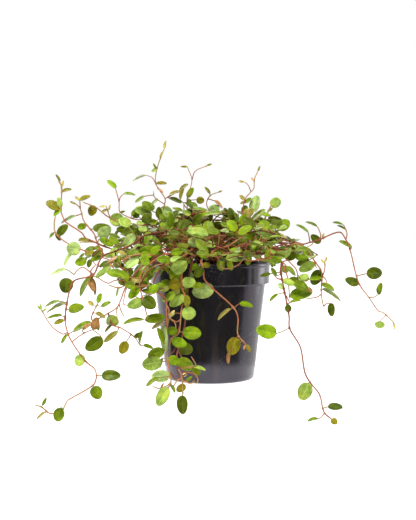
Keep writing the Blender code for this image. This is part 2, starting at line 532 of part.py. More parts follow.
def keep_off(stem):
    """Keep a stem above the surface that the pot stands on, and off the pot"""
    view = stem.view
    view[:, 2] = np.minimum(view[:, 2], deepest(view[:, 1], STEM_LIFT))
    world = stem.world()
    for index, (x, y, z) in enumerate(world):
        radius = math.hypot(x, y)
        if stem.parent is None and index < stem.outside:
            if radius > NEAR_RIM and z < OVER_RIM:
                spread = 1 + y / EYE_DISTANCE
                view[index, 1] = EYE_HEIGHT - (EYE_HEIGHT - OVER_RIM) / spread
        elif z < OVER_RIM:
            clear = pot_radius(z) + RIM_CLEAR
            if radius < clear and abs(x) < clear:
                view[index, 2] = math.copysign(math.sqrt(clear ** 2 - x ** 2), y)


def settle(stems):
    """Slide stems of different vines along the line of sight until they clear each other"""
    owner = np.concatenate([np.full(len(stem.view), stem.vine) for stem in stems])
    apart = owner[:, None] != owner[None, :]
    order = np.sign(owner[:, None] - owner[None, :])
    for _turn in range(SETTLE_TURNS):
        world = np.vstack([stem.world() for stem in stems])
        fixed = world[:, 2] < SOIL_TOP + ROOT_COLLAR
        fixed &= np.hypot(world[:, 0], world[:, 1]) < ROOT_ZONE
        gap = world[:, None, :] - world[None, :, :]
        distance = np.sqrt((gap ** 2).sum(axis=2))
        close = apart & (distance < STEM_SPACING)
        side = np.where(np.abs(gap[:, :, 1]) > 1e-5, np.sign(gap[:, :, 1]), order)
        push = np.where(close, side * (STEM_SPACING - distance), 0).sum(axis=1) / 2
        push = np.clip(push, -LARGEST_PUSH, LARGEST_PUSH)
        push[fixed] = 0
        first = 0
        for stem in stems:
            count = len(stem.view)
            part = push[first:first + count]
            padded = np.concatenate((part[:1], part, part[-1:]))
            stem.view[:, 2] += 0.25 * padded[:-2] + 0.5 * part + 0.25 * padded[2:]
            stem.view[:, 2][fixed[first:first + count]] = world[first:first + count, 1][
                fixed[first:first + count]]
            if stem.parent is not None:
                shift = stem.parent.view[stem.joint, 2] - stem.view[0, 2]
                fade = np.linspace(1, 0, count)
                stem.view[:, 2] += shift * fade
            keep_off(stem)
            if stem.parent is not None:
                stem.view[0] = stem.parent.view[stem.joint]
            first += count


def thin_out(points, tolerance):
    """The indices of the points that a run of straight lines needs to stay within a tolerance"""
    keep = {0, len(points) - 1}
    spans = [(0, len(points) - 1)]
    while spans:
        first, last = spans.pop()
        if last - first < 2:
            continue
        line = points[last] - points[first]
        length = max(float(np.linalg.norm(line)), TINY)
        offsets = np.linalg.norm(np.cross(points[first + 1:last] - points[first], line), axis=1)
        worst = int(np.argmax(offsets))
        if offsets[worst] / length > tolerance:
            middle = first + 1 + worst
            keep.add(middle)
            spans.append((first, middle))
            spans.append((middle, last))
    return sorted(keep)


def straighten(stems):
    """Keep only the points that each stem's course needs, and its joints"""
    joints = {id(stem): set() for stem in stems}
    for stem in stems:
        if stem.parent is not None:
            joints[id(stem.parent)].add(stem.joint)
    kept = {}
    for stem in stems:
        world = stem.world()
        marks = {0, len(world) - 1} | joints[id(stem)]
        if stem.parent is None:
            marks.add(int(np.argmax(world[:, 2] > SOIL_TOP)))
        marks = sorted(marks)
        chosen = set()
        for first, last in zip(marks, marks[1:]):
            for index in thin_out(world[first:last + 1], STRAIGHTENING):
                chosen.add(first + index)
        kept[id(stem)] = sorted(chosen)
    for stem in stems:
        stem.points = stem.world()[kept[id(stem)]]
        if stem.parent is None:
            rooted_points = stem.points[:, 2] < SOIL_TOP
            above = int(np.argmin(rooted_points)) + 1
            stem.points[:above, :2] = stem.points[0, :2]
        else:
            stem.start = kept[id(stem.parent)].index(stem.joint)


def nearest_shares(a, b, c, d):
    """How far along the lines ab and cd their nearest points lie"""
    first = b - a
    second = d - c
    between = a - c
    ff, fs, ss = np.dot(first, first), np.dot(first, second), np.dot(second, second)
    fb, sb = np.dot(first, between), np.dot(second, between)
    spread = ff * ss - fs * fs
    along = 0.5
    if spread > TINY * ff * ss:
        along = min(max((fs * sb - ss * fb) / spread, 0), 1)
    beside = min(max((fs * along + sb) / ss, 0), 1)
    along = min(max((fs * beside - fb) / ff, 0), 1)
    return along, beside


def push_run(stem, index, share, push):
    """Move one straight run of a stem, most at the given share of its length"""
    scale = 1 / ((1 - share) ** 2 + share ** 2)
    for corner, weight in ((index, 1 - share), (index + 1, share)):
        x, y, z = stem.points[corner]
        if z > SOIL_TOP + ROOT_COLLAR or math.hypot(x, y) > RIM_RADIUS:
            stem.points[corner] += push * weight * scale


def draw_apart(stems):
    """Push the straightened stems of different vines apart where they still touch"""
    for _turn in range(CROSSING_TURNS):
        runs = [(stem, index) for stem in stems for index in range(len(stem.points) - 1)]
        starts = np.array([stem.points[index] for stem, index in runs])
        ends = np.array([stem.points[index + 1] for stem, index in runs])
        owner = np.array([stem.vine for stem, _index in runs])
        low = np.minimum(starts, ends) - STEM_CLEAR / 2
        high = np.maximum(starts, ends) + STEM_CLEAR / 2
        near = (low[:, None] < high[None, :]).all(axis=2) & (low[None, :] < high[:, None]).all(axis=2)
        near &= owner[:, None] < owner[None, :]
        touching = 0
        for one, other in zip(*np.nonzero(near)):
            along, beside = nearest_shares(starts[one], ends[one], starts[other], ends[other])
            here = starts[one] + (ends[one] - starts[one]) * along
            there = starts[other] + (ends[other] - starts[other]) * beside
            gap = here - there
            distance = float(np.linalg.norm(gap))
            if distance >= STEM_CLEAR:
                continue
            if distance < 0.1 * MM:
                gap = np.cross(ends[one] - starts[one], ends[other] - starts[other])
            touching += 1
            missing = STEM_CLEAR * 1.05 - distance
            push = gap / max(float(np.linalg.norm(gap)), TINY) * missing / 2
            push_run(*runs[one], along, push)
            push_run(*runs[other], beside, -push)
        for stem in stems:
            if stem.parent is not None:
                stem.points[0] = stem.parent.points[stem.start]
            stem.points[:, 2] = np.maximum(stem.points[:, 2], STEM_LIFT)
        if not touching:
            break


def bears_leaves(point):
    """Whether a point of a stem is clear enough of the soil to bear a leaf"""
    return point[2] > SOIL_TOP + LOWEST_LEAF or math.hypot(point[0], point[1]) > RIM_RADIUS


def on_stem(stem, spot):
    """The point of a straightened stem that lies nearest a drawn spot"""
    drawn = world_to_drawn(stem.points)
    best = None
    for first, last, a, b in zip(drawn, drawn[1:], stem.points, stem.points[1:]):
        run = last[:2] - first[:2]
        part = float(np.dot(spot - first[:2], run) / max(float(np.dot(run, run)), 1e-12))
        part = min(max(part, 0.02), 0.98)
        gap = float(np.linalg.norm(first[:2] + run * part - spot))
        middle = a + (b - a) * part
        if bears_leaves(middle):
            if best is None or gap < best[0]:
                best = (gap, Vector(middle))
    return best


def leaf_frame(base, tip, width):
    """A leaf's place, length and true width, from its base, its tip and the width that shows"""
    along = tip - base
    length = along.length
    along.normalize()
    sight = (base - Vector((0, -EYE_DISTANCE, EYE_HEIGHT))).normalized()
    facing = (-sight + along * sight.dot(along)).normalized()
    side = along.cross(facing)
    shown = width * (1 + base.y / EYE_DISTANCE)
    true_width = shown
    if length > ROUNDED_FROM:
        true_width = max(shown, ROUNDNESS * length)
    cosine = min(1, shown / true_width)
    sine = math.sqrt(1 - cosine ** 2)
    if side.z < 0:
        sine = -sine
    normal = facing * cosine + side * sine
    across = along.cross(normal)
    place = Matrix((across, along, normal)).transposed().to_4x4()
    place.translation = base
    return place, length, true_width


def leaf_body(place, length, width, thickness, stem_point=None):
    """A leaf: a round blade, a little folded and drooping, and the stalk it grows on"""
    body = bmesh.new()
    corners = LEAF_SIDES
    if max(length, width) > LARGE_LEAF:
        corners = LARGE_SIDES
    elif width < NARROW_LEAF:
        corners = NARROW_SIDES
    bmesh.ops.create_circle(body, cap_ends=True, segments=corners, radius=1)
    low = -math.cos(math.pi / corners)
    for corner in body.verts:
        across = corner.co.x
        along = (corner.co.y - low) / (1 - low)
        if along < 0.01:
            across = math.copysign(STALK_WIDTH / width, across)
        lift = FOLD * abs(across) * width / 2 - DROOP * length * along ** 2
        corner.co = Vector((across * width / 2 * SIDE_REACH, along * length, lift))
    bmesh.ops.triangulate(body, faces=body.faces[:])
    thicken(body, thickness)
    if stem_point is not None:
        reach = place.inverted() @ stem_point
        foot = min(body.faces, key=lambda face: face.calc_center_median().length)
        middle = foot.calc_center_median()
        turn = Matrix.Identity(3)
        if reach.length > SHORTEST_STALK:
            turn = Vector((0, -1, 0)).rotation_difference(reach - middle).to_matrix()
            foot = bmesh.ops.extrude_discrete_faces(body, faces=[foot])["faces"][0]
        for corner in foot.verts:
            corner.co = reach + turn @ (corner.co - middle) * STALK_TAPER
    body.transform(place)
    return body


def thicken(sheet, thickness):
    """Make a closed slab of a sheet, half of its thickness to each side"""
    sheet.normal_update()
    shifts = [(corner, corner.normal * thickness / 2) for corner in sheet.verts]
    for corner, shift in shifts:
        corner.co += shift
    bmesh.ops.solidify(sheet, geom=sheet.faces[:], thickness=thickness)
    bmesh.ops.recalc_face_normals(sheet, faces=sheet.faces[:])


class Slab:
    """A closed body as a search tree with its lowest and highest corner"""

    def __init__(self, vine, corners, tree):
        array = np.array([tuple(corner) for corner in corners])
        self.vine = vine
        self.corners = array
        self.low = array.min(axis=0)
        self.high = array.max(axis=0)
        self.tree = tree

    def meets(self, other):
        if (self.low > other.high).any() or (other.low > self.high).any():
            return False
        return bool(self.tree.overlap(other.tree))


class Guard:
    """What is placed so far: whole pieces, and the blades alone"""

    def __init__(self):
        self.pieces = []
        self.blades = []

    def leaves_room(self, leaf, blade):
        if any(piece.vine != leaf.vine and leaf.meets(piece) for piece in self.pieces):
            return False
        return not any(other.vine == leaf.vine and blade.meets(other) for other in self.blades)


def sinks_in(points):
    """Whether a point lies in the pot or below the surface the pot stands on"""
    for x, y, z in points:
        if z < LEAF_LIFT * 0.7:
            return True
        if z < POT_HEIGHT + LEAF_OVER_RIM and math.hypot(x, y) < pot_radius(z) + LEAF_OFF_POT:
            return True
    return False


def roomy_slab(vine, place, length, width, stem_point):
    """A leaf with the room it needs around it"""
    body = leaf_body(place, length, width, BLADE + 2 * LEAF_CLEAR, stem_point)
    slab = Slab(vine, [corner.co for corner in body.verts], BVHTree.FromBMesh(body))
    body.free()
    return slab


def try_leaf(guard, vine, place, length, width, stem_point):
    """Whether a leaf stands clear of the pot, the surface, other vines and its own sisters"""
    leaf = roomy_slab(vine, place, length, width, stem_point)
    inner = place @ Matrix.Translation((0, INNER_START * length, 0))
    blade = roomy_slab(vine, inner, INNER_LENGTH * length, INNER_WIDTH * width, None)
    free = not sinks_in(leaf.corners) and guard.leaves_room(leaf, blade)
    if free:
        guard.pieces.append(leaf)
        guard.blades.append(blade)
    return free


def drawn_leaf(guard, vine, own, leaf, draw):
    """Place a leaf of the front view on the nearest stem, as far forward as keeps it clear"""
    x, z, tip_x, tip_z, width, tone = leaf
    spot = np.array((x, z)) * MM
    end = np.array((tip_x, tip_z)) * MM
    hits = [hit for hit in (on_stem(stem, spot) for stem in own) if hit is not None]
    stem_point = min(hits, key=lambda hit: hit[0])[1]
    run = max(float(np.linalg.norm(end - spot)), 1e-6)
    lowest = min(spot[1], end[1]) - width * MM / 2 * abs(end[0] - spot[0]) / run
    limit = float(deepest(lowest, LEAF_LIFT))
    lean = draw.uniform(-LARGEST_LEAN, LARGEST_LEAN)
    for near in NEAR_SHIFTS:
        for shift in TIP_SHIFTS:
            depth = min(stem_point.y + near * MM, limit)
            tip_depth = min(depth + (lean + shift) * run, limit)
            ends = drawn_to_world(np.array(((*spot, depth), (*end, tip_depth))))
            place, length, true_width = leaf_frame(Vector(ends[0]), Vector(ends[1]), width * MM)
            if try_leaf(guard, vine, place, length, true_width, stem_point):
                return place, length, true_width, stem_point, tone
    return None


def facing_place(base, along, up):
    """A leaf's place from its base, the way it points and roughly where its upper side looks"""
    across = along.cross(up).normalized()
    place = Matrix((across, along, across.cross(along))).transposed().to_4x4()
    place.translation = base
    return place


def walk(stem, first, step, draw):
    """Spots along a stem, each with the way the stem runs there"""
    along = np.concatenate(((0,), np.cumsum(np.linalg.norm(np.diff(stem.points, axis=0), axis=1))))
    position = first
    while position < along[-1]:
        spot, ahead = (Vector([np.interp(place, along, stem.points[:, axis]) for axis in range(3)])
                       for place in (position, position + 2 * MM))
        if (ahead - spot).length > 0:
            yield spot, (ahead - spot).normalized()
        position += step * draw.uniform(0.8, 1.2)


def back_leaves(guard, vine, stem):
    """Leaves on alternate sides of a vine behind the crown"""
    draw = random.Random(BACK_LEAF_SEED + vine)
    leaves = []
    side = 1
    for spot, onward in walk(stem, BACK_LEAF_START, BACK_LEAF_STEP, draw):
        for _attempt in range(BACK_LEAF_TRIES if bears_leaves(spot) else 0):
            out = onward.cross(Vector((0, 0, 1))).normalized() * side
            out += onward * draw.uniform(0, 0.8)
            out.z += draw.uniform(-0.2, 0.9)
            out.normalize()
            base = spot + out * draw.uniform(*BACK_STALKS)
            length = draw.uniform(*BACK_LENGTHS)
            turn = (draw.uniform(-0.4, 0.4), draw.uniform(-0.4, 0.4), draw.uniform(-0.6, 0.2))
            up = Vector((draw.uniform(-0.5, 0.5), draw.uniform(-0.5, 0.5), 1))
            place = facing_place(base, (out + Vector(turn)).normalized(), up)
            width = length * draw.uniform(*BACK_ROUNDNESS)
            if try_leaf(guard, vine, place, length, width, spot):
                leaves.append((place, length, width, spot, draw.choice(BACK_LEAF_TONES)))
                break
        side = -side
    return leaves


def three_sided_section():
    """The section of every stem, as a guide curve of unit radius"""
    ring = bpy.data.curves.new("stem_section", "CURVE")
    spline = ring.splines.new("POLY")
    spline.points.add(2)
    spline.use_cyclic_u = True
    for index, corner in enumerate(spline.points):
        angle = -math.tau * index / 3
        corner.co = (math.cos(angle), math.sin(angle), 0, 1)
    section = bpy.data.objects.new("stem_section", ring)
    section.hide_render = True
    section.display_type = "WIRE"
    bpy.context.scene.collection.objects.link(section)
    return section


def tube_mesh(section, name, points, first_radius, last_radius):
    """A stem as a mesh: a bent wire that tapers evenly, its caps welded on"""
    wire = bpy.data.curves.new(name, "CURVE")
    wire.dimensions = "3D"
    wire.bevel_mode = "OBJECT"
    wire.bevel_object = section
    wire.use_fill_caps = True
    spline = wire.splines.new("POLY")
    spline.points.add(len(points) - 1)
    for index, (knot, point) in enumerate(zip(spline.points, points)):
        knot.co = (*point, 1)
        part = index / (len(points) - 1)
        knot.radius = first_radius + (last_radius - first_radius) * part
    holder = bpy.data.objects.new(name, wire)
    bpy.context.scene.collection.objects.link(holder)
    bpy.context.view_layer.update()
    shaped = holder.evaluated_get(bpy.context.evaluated_depsgraph_get())
    mesh = bpy.data.meshes.new_from_object(shaped)
    bpy.data.objects.remove(holder)
    bpy.data.curves.remove(wire)
    edit = bmesh.new()
    edit.from_mesh(mesh)
    bmesh.ops.remove_doubles(edit, verts=edit.verts[:], dist=1e-6)
    edit.to_mesh(mesh)
    edit.free()
    return mesh


def stem_radii(stem):
    """A stem's radius at its foot and at its tip"""
    if stem.parent is None:
        return ROOT_STEM, TIP_STEM
    return TWIG_STEM, TWIG_TIP


def guard_stems(section, guard, stems):
    """Enter every stem as something to keep clear of"""
    for stem in stems:
        foot, tip = stem_radii(stem)
        mesh = tube_mesh(section, "clearance", stem.points, foot + LEAF_CLEAR, tip + LEAF_CLEAR)
        corners = [corner.co.copy() for corner in mesh.vertices]
        tree = BVHTree.FromPolygons(corners, [tuple(face.vertices) for face in mesh.polygons])
        guard.pieces.append(Slab(stem.vine, corners, tree))
        bpy.data.meshes.remove(mesh)


def grow(section, guard):
    """The stems of every vine and the leaves on each, all clear of the other vines"""
    stems = lay_out(VINES)
    settle(stems)
    straighten(stems)
    draw_apart(stems)
    guard_stems(section, guard, stems)
    names = [vine[0] for vine in VINES] + [f"vine_back_{i + 1}" for i in range(BACK_VINES)]
    leaves = []
    for number, name in enumerate(names):
        own = [stem for stem in stems if stem.vine == number]
        draw = random.Random(number)
        if number < len(VINES):
            placed = [drawn_leaf(guard, number, own, leaf, draw) for leaf in VINES[number][3]]
            leaves.append([leaf for leaf in placed if leaf is not None])
        else:
            leaves.append(back_leaves(guard, number, own[0]))
    return names, stems, leaves


def material(name, colour, roughness):
    """A plain finish"""
    finish = bpy.data.materials.new(name)
    finish.use_nodes = True
    shader = finish.node_tree.nodes["Principled BSDF"]
    shader.inputs["Base Color"].default_value = (*colour, 1)
    shader.inputs["Roughness"].default_value = roughness
    shader.inputs["Metallic"].default_value = 0
    finish.diffuse_color = (*colour, 1)
    return finish


def new_object(name, mesh, collection, finish=None):
    """An object in a collection"""
    thing = bpy.data.objects.new(name, mesh)
    collection.objects.link(thing)
    if finish is not None:
        mesh.materials.append(finish)
    return thing


def cutter(name, collection, location, radius, depth, sides):
    """An upright round cutter, centred on a place"""
    edit = bmesh.new()
    bmesh.ops.create_cone(edit, cap_ends=True, segments=sides, radius1=radius, radius2=radius,
                          depth=depth)
    mesh = bpy.data.meshes.new(name)
    edit.to_mesh(mesh)
    edit.free()
    thing = new_object(name, mesh, collection)
    thing.location = location
    thing.hide_render = True
    thing.display_type = "WIRE"


def turned(name, outline, sides, collection, finish):
    """A turned body: an outline of radius and height, swept round the axis"""
    mesh = bpy.data.meshes.new(name)
    mesh.from_pydata([(radius, 0, height) for radius, height in outline],
                     [(i, i + 1) for i in range(len(outline) - 1)], [])
    thing = new_object(name, mesh, collection, finish)
    sweep = thing.modifiers.new("Sweep", "SCREW")
    sweep.steps = sides
    sweep.render_steps = sides
    sweep.use_merge_vertices = True
    sweep.merge_threshold = 1e-5
    sweep.use_smooth_shade = True
    return thing


def cut_by(thing, collection):
    """Cut a body with every cutter of a collection"""
    cut = thing.modifiers.new("Holes", "BOOLEAN")
    cut.operation = "DIFFERENCE"
    cut.operand_type = "COLLECTION"
    cut.collection = collection
    cut.solver = "EXACT"


def make_pot(parts, cutters):
    """The nursery pot: tapered, with a deep collar, a soft rim and drain holes round its base"""
    gloss = material("pot_plastic", POT_COLOUR, POT_ROUGHNESS)
    inner_top = RIM_RADIUS - WALL
    inner_collar = COLLAR_RADIUS - WALL
    outline = (
        (0, BASE_THICKNESS),
        (BASE_RADIUS - WALL - 0.001, BASE_THICKNESS),
        (BASE_RADIUS - WALL, BASE_THICKNESS + 0.001),
        (BODY_TOP_RADIUS - WALL, COLLAR_BOTTOM),
        (inner_collar, COLLAR_BOTTOM + WALL),
        (inner_top, POT_HEIGHT - EDGE),
        (inner_top + 0.0005, POT_HEIGHT),
        (RIM_RADIUS - 0.0005, POT_HEIGHT),
        (RIM_RADIUS, POT_HEIGHT - EDGE),
        (COLLAR_RADIUS, COLLAR_BOTTOM + 0.0004),
        (COLLAR_RADIUS - 0.0005, COLLAR_BOTTOM),
        (BODY_TOP_RADIUS, COLLAR_BOTTOM - EDGE),
        (BASE_RADIUS + 0.0003, 0.0030),
        (BASE_RADIUS - EDGE, 0.0008),
        (BASE_RADIUS - 0.0022, 0),
        (0, 0),
    )
    pot = turned("nursery_pot", outline, POT_SIDES, parts, gloss)
    for index in range(DRAIN_HOLES):
        angle = math.tau * (index + 0.5) / DRAIN_HOLES
        place = (DRAIN_RING * math.cos(angle), DRAIN_RING * math.sin(angle), BASE_THICKNESS / 2)
        cutter(f"drain_{index}", cutters, place, DRAIN_RADIUS, 3 * BASE_THICKNESS,
               DRAIN_SIDES)
    cut_by(pot, cutters)


def make_soil(parts, cutters, stems):
    """The potting mix, with a plain hole for each stem"""
    earth = material("soil", SOIL_COLOUR, SOIL_ROUGHNESS)
    wall = WALL + FIT_GAP
    slope = (BODY_TOP_RADIUS - BASE_RADIUS) / COLLAR_BOTTOM
    bottom = BASE_THICKNESS + FIT_GAP
    outline = (
        (0, SOIL_TOP + SOIL_CROWN),
        (0.022, SOIL_TOP + SOIL_CROWN * 0.6),
        (COLLAR_RADIUS - wall - 0.0012, SOIL_TOP - 0.0006),
        (COLLAR_RADIUS - wall, SOIL_TOP - 0.002),
        (COLLAR_RADIUS - wall, COLLAR_BOTTOM + WALL + 2 * FIT_GAP),
        (BODY_TOP_RADIUS - wall, COLLAR_BOTTOM + FIT_GAP / 2),
        (BASE_RADIUS - wall + slope * 0.004, bottom + 0.0024),
        (BASE_RADIUS - wall - 0.0015, bottom),
        (0, bottom),
    )
    soil = turned("potting_mix", outline, POT_SIDES, parts, earth)
    for stem in stems:
        if stem.parent is None:
            x, y, z = stem.points[0]
            low = z - HOLE_WALL_GAP
            high = SOIL_TOP + ROOT_COLLAR
            radius = ROOT_STEM / math.cos(math.pi / HOLE_SIDES) + HOLE_WALL_GAP
            cutter(f"hole_{stem.vine}", cutters, (x, y, (low + high) / 2), radius, high - low,
                   HOLE_SIDES)
    cut_by(soil, cutters)


def is_sound(mesh):
    """Whether a mesh is one closed body, also where points nearer than a seam are one"""
    edit = bmesh.new()
    edit.from_mesh(mesh)
    closed = all(edge.is_manifold for edge in edit.edges)
    bmesh.ops.remove_doubles(edit, verts=edit.verts[:], dist=THINNEST_SEAM)
    closed = closed and all(edge.is_manifold for edge in edit.edges)
    closed = closed and len(shells_of(edit)) == 1
    edit.free()
    return closed


def shells_of(edit):
    """The faces of a mesh in groups that are joined edge to edge, smallest first"""
    waiting = set(edit.faces)
    shells = []
    while waiting:
        shell = [waiting.pop()]
        for face in shell:
            for edge in face.edges:
                for beside in edge.link_faces:
                    if beside in waiting:
                        waiting.remove(beside)
                        shell.append(beside)
        shells.append(shell)
    return sorted(shells, key=len)


def keep_outer_shell(mesh):
    """Drop the scraps that joining leaves loose, and fill the hollows that it seals"""
    edit = bmesh.new()
    edit.from_mesh(mesh)
    on_edges = [corner for corner in edit.verts if len(corner.link_edges) == 2]
    bmesh.ops.dissolve_verts(edit, verts=on_edges)
    bmesh.ops.triangulate(edit, faces=edit.faces[:])
    loose = [face for shell in shells_of(edit)[:-1] for face in shell]
    bmesh.ops.delete(edit, geom=loose, context="FACES")
    edit.to_mesh(mesh)
    edit.free()


def joined(vine, pieces, solver):
    """The mesh of a vine's main stem with its twigs and leaves joined to it"""
    join = vine.modifiers.new("Join", "BOOLEAN")
    join.operation = "UNION"
    join.operand_type = "COLLECTION"
    join.collection = pieces
    join.solver = solver
    bpy.context.view_layer.update()
    shaped = vine.evaluated_get(bpy.context.evaluated_depsgraph_get())
    mesh = bpy.data.meshes.new_from_object(shaped)
    vine.modifiers.clear()
    keep_outer_shell(mesh)
    return mesh


def make_vine(section, name, own, leaves, parts, finish):
    """One leafy stem: the main stem, its twigs and its leaves, joined in one body"""
    foot, tip = stem_radii(own[0])
    vine = new_object(name, tube_mesh(section, name, own[0].points, foot, tip), parts)
    pieces = bpy.data.collections.new(name + "_pieces")
    bpy.context.scene.collection.children.link(pieces)
    for solver, share in JOINING_TRIES:
        for stem in own[1:]:
            foot, tip = stem_radii(stem)
            new_object("twig", tube_mesh(section, "twig", stem.points, foot, tip), pieces)
        for place, length, width, stem_point, _tone in leaves:
            body = leaf_body(place, length, width, BLADE * share, stem_point)
            mesh = bpy.data.meshes.new("leaf")
            body.to_mesh(mesh)
            body.free()
            new_object("leaf", mesh, pieces)
        mesh = joined(vine, pieces, solver)
        for piece in list(pieces.objects):
            bpy.data.objects.remove(piece)
        if is_sound(mesh):
            break
    bpy.data.collections.remove(pieces)
    vine.data = mesh
    mesh.materials.clear()
    mesh.materials.append(finish)


def build():
    """The whole potted plant"""
    for thing in list(bpy.data.objects):
        bpy.data.objects.remove(thing)
    scene = bpy.context.scene
    parts = bpy.data.collections.new("Potted wire vine")
    drains = bpy.data.collections.new("Drain cutters")
    holes = bpy.data.collections.new("Stem hole cutters")
    for collection in (parts, drains, holes):
        scene.collection.children.link(collection)
    section = three_sided_section()
    names, stems, leaves = grow(section, Guard())
    finish = material("leafy_stem", PLANT_COLOUR, PLANT_ROUGHNESS)
    for number, name in enumerate(names):
        own = [stem for stem in stems if stem.vine == number]
        make_vine(section, name, own, leaves[number], parts, finish)
    make_pot(parts, drains)
    make_soil(parts, holes, stems)


build()
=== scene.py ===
"""The looks of a wire vine in a nursery pot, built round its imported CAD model

Every length is in metres, with +Z up and -Y towards the viewer of the photograph. The plant is grown
by the same rules and values as the model's source, and each vine's solid is then replaced by a finer
piece: round stems, curved blades and stalks.
"""

import json
import math
import random

import bmesh
import bpy
import numpy as np
from mathutils import Matrix, Vector
from mathutils import noise
from mathutils.bvhtree import BVHTree

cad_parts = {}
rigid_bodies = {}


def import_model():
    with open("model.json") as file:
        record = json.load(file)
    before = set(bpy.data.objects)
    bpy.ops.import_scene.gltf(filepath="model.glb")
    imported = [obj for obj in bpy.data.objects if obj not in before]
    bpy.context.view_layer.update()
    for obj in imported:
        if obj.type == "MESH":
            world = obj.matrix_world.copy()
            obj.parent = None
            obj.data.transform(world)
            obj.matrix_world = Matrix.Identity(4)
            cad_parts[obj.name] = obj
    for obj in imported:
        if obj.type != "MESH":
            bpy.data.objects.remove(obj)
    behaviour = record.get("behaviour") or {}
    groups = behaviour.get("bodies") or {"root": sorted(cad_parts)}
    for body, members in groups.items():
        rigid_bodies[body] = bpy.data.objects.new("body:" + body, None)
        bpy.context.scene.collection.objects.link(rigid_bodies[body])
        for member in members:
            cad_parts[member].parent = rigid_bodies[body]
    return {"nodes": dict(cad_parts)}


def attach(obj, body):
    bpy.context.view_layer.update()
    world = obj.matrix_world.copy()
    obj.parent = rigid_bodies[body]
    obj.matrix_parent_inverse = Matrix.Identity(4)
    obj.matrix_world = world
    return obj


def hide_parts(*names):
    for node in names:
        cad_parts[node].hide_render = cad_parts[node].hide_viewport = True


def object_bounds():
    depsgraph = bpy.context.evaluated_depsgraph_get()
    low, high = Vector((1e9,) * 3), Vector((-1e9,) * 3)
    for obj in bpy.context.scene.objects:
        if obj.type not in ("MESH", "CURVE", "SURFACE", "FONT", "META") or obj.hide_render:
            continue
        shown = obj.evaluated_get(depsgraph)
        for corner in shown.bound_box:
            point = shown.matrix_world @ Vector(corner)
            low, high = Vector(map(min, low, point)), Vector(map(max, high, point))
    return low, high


MM = 0.001

# Lengths and squares of lengths that count as nothing
TINY = 1e-9
TOUCHING = 1e-7
ON_AXIS = 1e-6
WELD = 1e-6
SHORTEST_LEAF = 1e-6
SHORTEST_RUN = 1e-12
SAME_DEPTH = 1e-5
CROSSING = 0.1 * MM

# Pot
RIM_RADIUS = 0.053
COLLAR_RADIUS = 0.052
BODY_TOP_RADIUS = 0.0485
BASE_RADIUS = 0.0385
POT_HEIGHT = 0.102
COLLAR_BOTTOM = 0.084
WALL = 0.0016
BASE_THICKNESS = 0.0022
DRAIN_HOLES = 6
DRAIN_RADIUS = 0.0035
DRAIN_RING = 0.024

# Soil
SOIL_TOP = 0.092
SOIL_CROWN = 0.0015
HOLE_DEPTH = 0.014
ROOT_DISC = 0.039
ROOT_ZONE = 0.042
ROOT_COLLAR = 0.004
SUNFLOWER_TURN = 137.508

# The vines are drawn on an upright plane through the pot's axis, as seen from this point in front.
# A drawn point is put at its depth by sliding it along the line of sight.
EYE_DISTANCE = 0.900
EYE_HEIGHT = 0.137
STEM_LIFT = 0.0016
LEAF_LIFT = 0.0014

# Stems
STEP = 0.005
STEM_SPACING = 0.005
SETTLE_TURNS = 80
LARGEST_PUSH = 0.0015
STRAIGHTENING = 0.0009
NEIGHBOUR_SHARE = 0.25
OWN_SHARE = 0.5
STEM_CLEAR = 0.0028
CLEAR_MARGIN = 1.05
CROSSING_TURNS = 60
ROOT_STEM = 0.0012
TIP_STEM = 0.0009
TWIG_STEM = 0.0009
TWIG_TIP = 0.00075
TWIG_FORWARD = 0.003
FIRST_RISE = 0.005
BURIED_POINTS = 5
FAR = 1
OVER_RIM = 0.1058
NEAR_RIM = 0.043
RIM_CLEAR = 0.0026

# Leaves
BLADE = 0.0007
LEAF_CLEAR = 0.0006
ROOMY_BLADE = BLADE + 2 * LEAF_CLEAR
STALK_WIDTH = 0.0009
STALK_TAPER = 0.5
SHORTEST_STALK = 0.0016
AT_STALK = 0.01
LOWEST_LEAF = 0.010
LEAF_SINK = 0.7
LEAF_OFF_POT = 0.0018
LEAF_OVER_RIM = 0.0015
LARGE_LEAF = 0.0145
LARGE_SIDES = 9
LEAF_SIDES = 7
NARROW_LEAF = 0.0045
NARROW_SIDES = 5
ROUNDNESS = 0.62
ROUNDED_FROM = 0.0065
SIDE_REACH = 1.02
INNER_START = 0.2
INNER_LENGTH = 0.7
INNER_WIDTH = 0.85
LARGEST_LEAN = 0.35
FOLD = 0.16
DROOP = 0.10
NEAR_SHIFTS = (0, -2, -5, -8, 2, -12, 6, -16, 10)
TIP_SHIFTS = (0.0, 0.3, -0.3, 0.6, -0.6)
RUN_PARTS = (0.02, 0.98)
LOOK_AHEAD = 0.002
WALK_STEPS = (0.8, 1.2)

